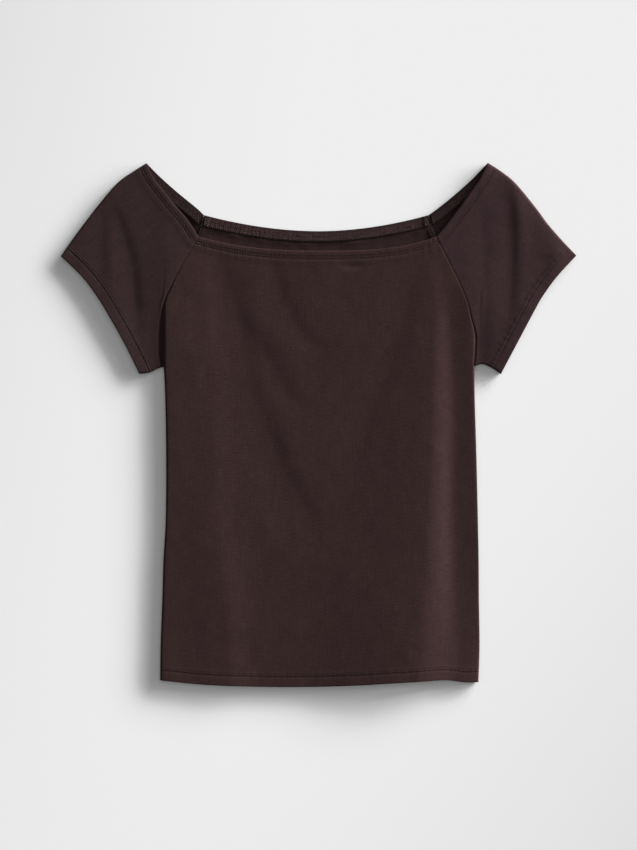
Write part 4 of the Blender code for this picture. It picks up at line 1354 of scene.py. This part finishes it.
stitch_looks = thread_looks("stitch_looks", STITCH_PAINTED_SHADE)
hem_ends = [
    seam_points("right", "side_seam", [0.0])[0][0] + HEM_ROWS_INSET,
    seam_points("left", "side_seam", [0.0])[0][0] - HEM_ROWS_INSET,
]
back_ends = [neck_ends[0] + NECK_ROWS_INSET, neck_ends[1] - NECK_ROWS_INSET]
down = [-row for row in NECK_ROWS]
front_paths = level_rows(*hem_ends, 300, hem_y, HEM_ROWS, front_height)
front_paths += level_rows(*FRONT_NECK_ROW_ENDS, 240, front_neck_y, down, front_height)
back_paths = level_rows(*hem_ends, 300, hem_y, HEM_ROWS, under_height, -1)
back_paths += level_rows(*back_ends, 240, back_neck_y, down, under_height, -1)
threads("front_stitches", np.concatenate(front_paths), STITCH_RADII, stitch_looks)
threads("back_stitches", np.concatenate(back_paths), STITCH_RADII, stitch_looks)

for side in CUT:

    def top_height(plan, side=side):
        return sleeve_relief(side, plan, True)

    inside = (corner(side, "cuff_top") + corner(side, "cuff_bottom") + seam_end(side, "front_raglan")) / 3
    cuff = cuff_edge(side, np.linspace(*CUFF_ROW_SPAN, 120))
    paths = [stitches(beside(cuff, row, inside), top_height) for row in HEM_ROWS]
    paths += [stitches(beside(cuff, row, inside), under_height, -1) for row in HEM_ROWS]
    for layer, height, above in (("front", top_height, 1), ("back", under_height, -1)):
        neck = sleeve_neck(side, layer, *SLEEVE_NECK_ROW_SPAN, 80)
        paths += [stitches(beside(neck, row, inside), height, above) for row in NECK_ROWS]
    sewn = threads(f"{side}_sleeve_stitches", np.concatenate(paths), STITCH_RADII, stitch_looks)


# Surface, light and camera. The top lies on a large pale surface whose colour is painted darker away from
# the light, a painted falloff of the light. A soft light stands low at the upper right, so that the thin
# cloth casts a long shadow, and a weaker one comes from all round. The camera hangs straight above.

MM_PER_PIXEL = 1.18
CAMERA_HEIGHT = 3.4
FRAME_HEIGHT = 850 * MM_PER_PIXEL / 1000
SENSOR = 36.0
FLOOR_LIGHT = math.pi
FLOOR_WHITE = 0.861

# How the surface's colour is painted darker away from the light, a painted falloff, by the place along +X
# and +Y, their squares and their product
FLOOR_PAINTED_FALLOFF = (-0.041, -0.042, 0.357, 0.081, -0.3)
FLOOR_PAINTED_FALLOFF_LIMIT = 0.25

# The soft light's parts: elevation, azimuth from the wearer's left and spread in degrees, and share of all
# the light that falls on the surface. The rest comes from all round.
KEY_PARTS = [
    (6.2, -2, 7.0, 0.03),
    (6.2, 11, 7.0, 0.07),
    (6.2, 24, 7.0, 0.14),
    (6.2, 37, 7.0, 0.18),
    (6.6, 50, 7.0, 0.13),
    (6.6, 63, 7.0, 0.05),
    (11.0, 35, 14.0, 0.1),
]

floor_mesh = bpy.data.meshes.new("floor")
floor_mesh.from_pydata([(-20, -20, 0), (20, -20, 0), (20, 20, 0), (-20, 20, 0)], [], [(0, 1, 2, 3)])
floor = add_object("floor", floor_mesh)
paint, paint_sockets = plain_looks("pale_surface", Roughness=1.0, Specular_IOR_Level=0.0)
floor_place = Wired(paint.node_tree, paint.node_tree.nodes.new("ShaderNodeTexCoord").outputs["Object"])
floor_x = floor_place.node("ShaderNodeSeparateXYZ", i0=floor_place)
floor_y = floor_x.output(1)
terms = (floor_x, floor_y, floor_x * floor_x, floor_y * floor_y, floor_x * floor_y)
# The surface's colour is painted darker away from the light: a painted falloff
fade = sum(term * weight for term, weight in zip(terms, FLOOR_PAINTED_FALLOFF))
fade = fade.maths("MINIMUM", fade.maths("MAXIMUM", fade, 0.0), FLOOR_PAINTED_FALLOFF_LIMIT)
white = (1 - fade) * FLOOR_WHITE
white.node("ShaderNodeCombineXYZ", i0=white, i1=white, i2=white).to(paint_sockets["Base Color"])
floor_mesh.materials.append(paint)

for number, (elevation, azimuth, spread, share) in enumerate(KEY_PARTS):
    key_light = bpy.data.lights.new(f"key_{number + 1}", "SUN")
    key_light.energy = FLOOR_LIGHT * share / math.sin(math.radians(elevation))
    key_light.angle = math.radians(spread)
    key = add_object(f"key_{number + 1}", key_light)
    key.rotation_euler = (math.radians(90 - elevation), 0, math.radians(90 + azimuth))

world = bpy.data.worlds.new("fill")
world.use_nodes = True
all_round = world.node_tree.nodes["Background"].inputs
all_round["Color"].default_value = (1.0, 1.0, 1.0, 1.0)
all_round["Strength"].default_value = 1 - sum(part[3] for part in KEY_PARTS)
bpy.context.scene.world = world
bpy.context.scene.view_settings.view_transform = "Standard"

camera_data = bpy.data.cameras.new("camera")
camera_data.sensor_width = SENSOR
camera_data.lens = SENSOR * CAMERA_HEIGHT / FRAME_HEIGHT
camera_data.clip_end = 100
camera = add_object("camera", camera_data)
camera.location = (0, 0, CAMERA_HEIGHT)
bpy.context.scene.camera = camera
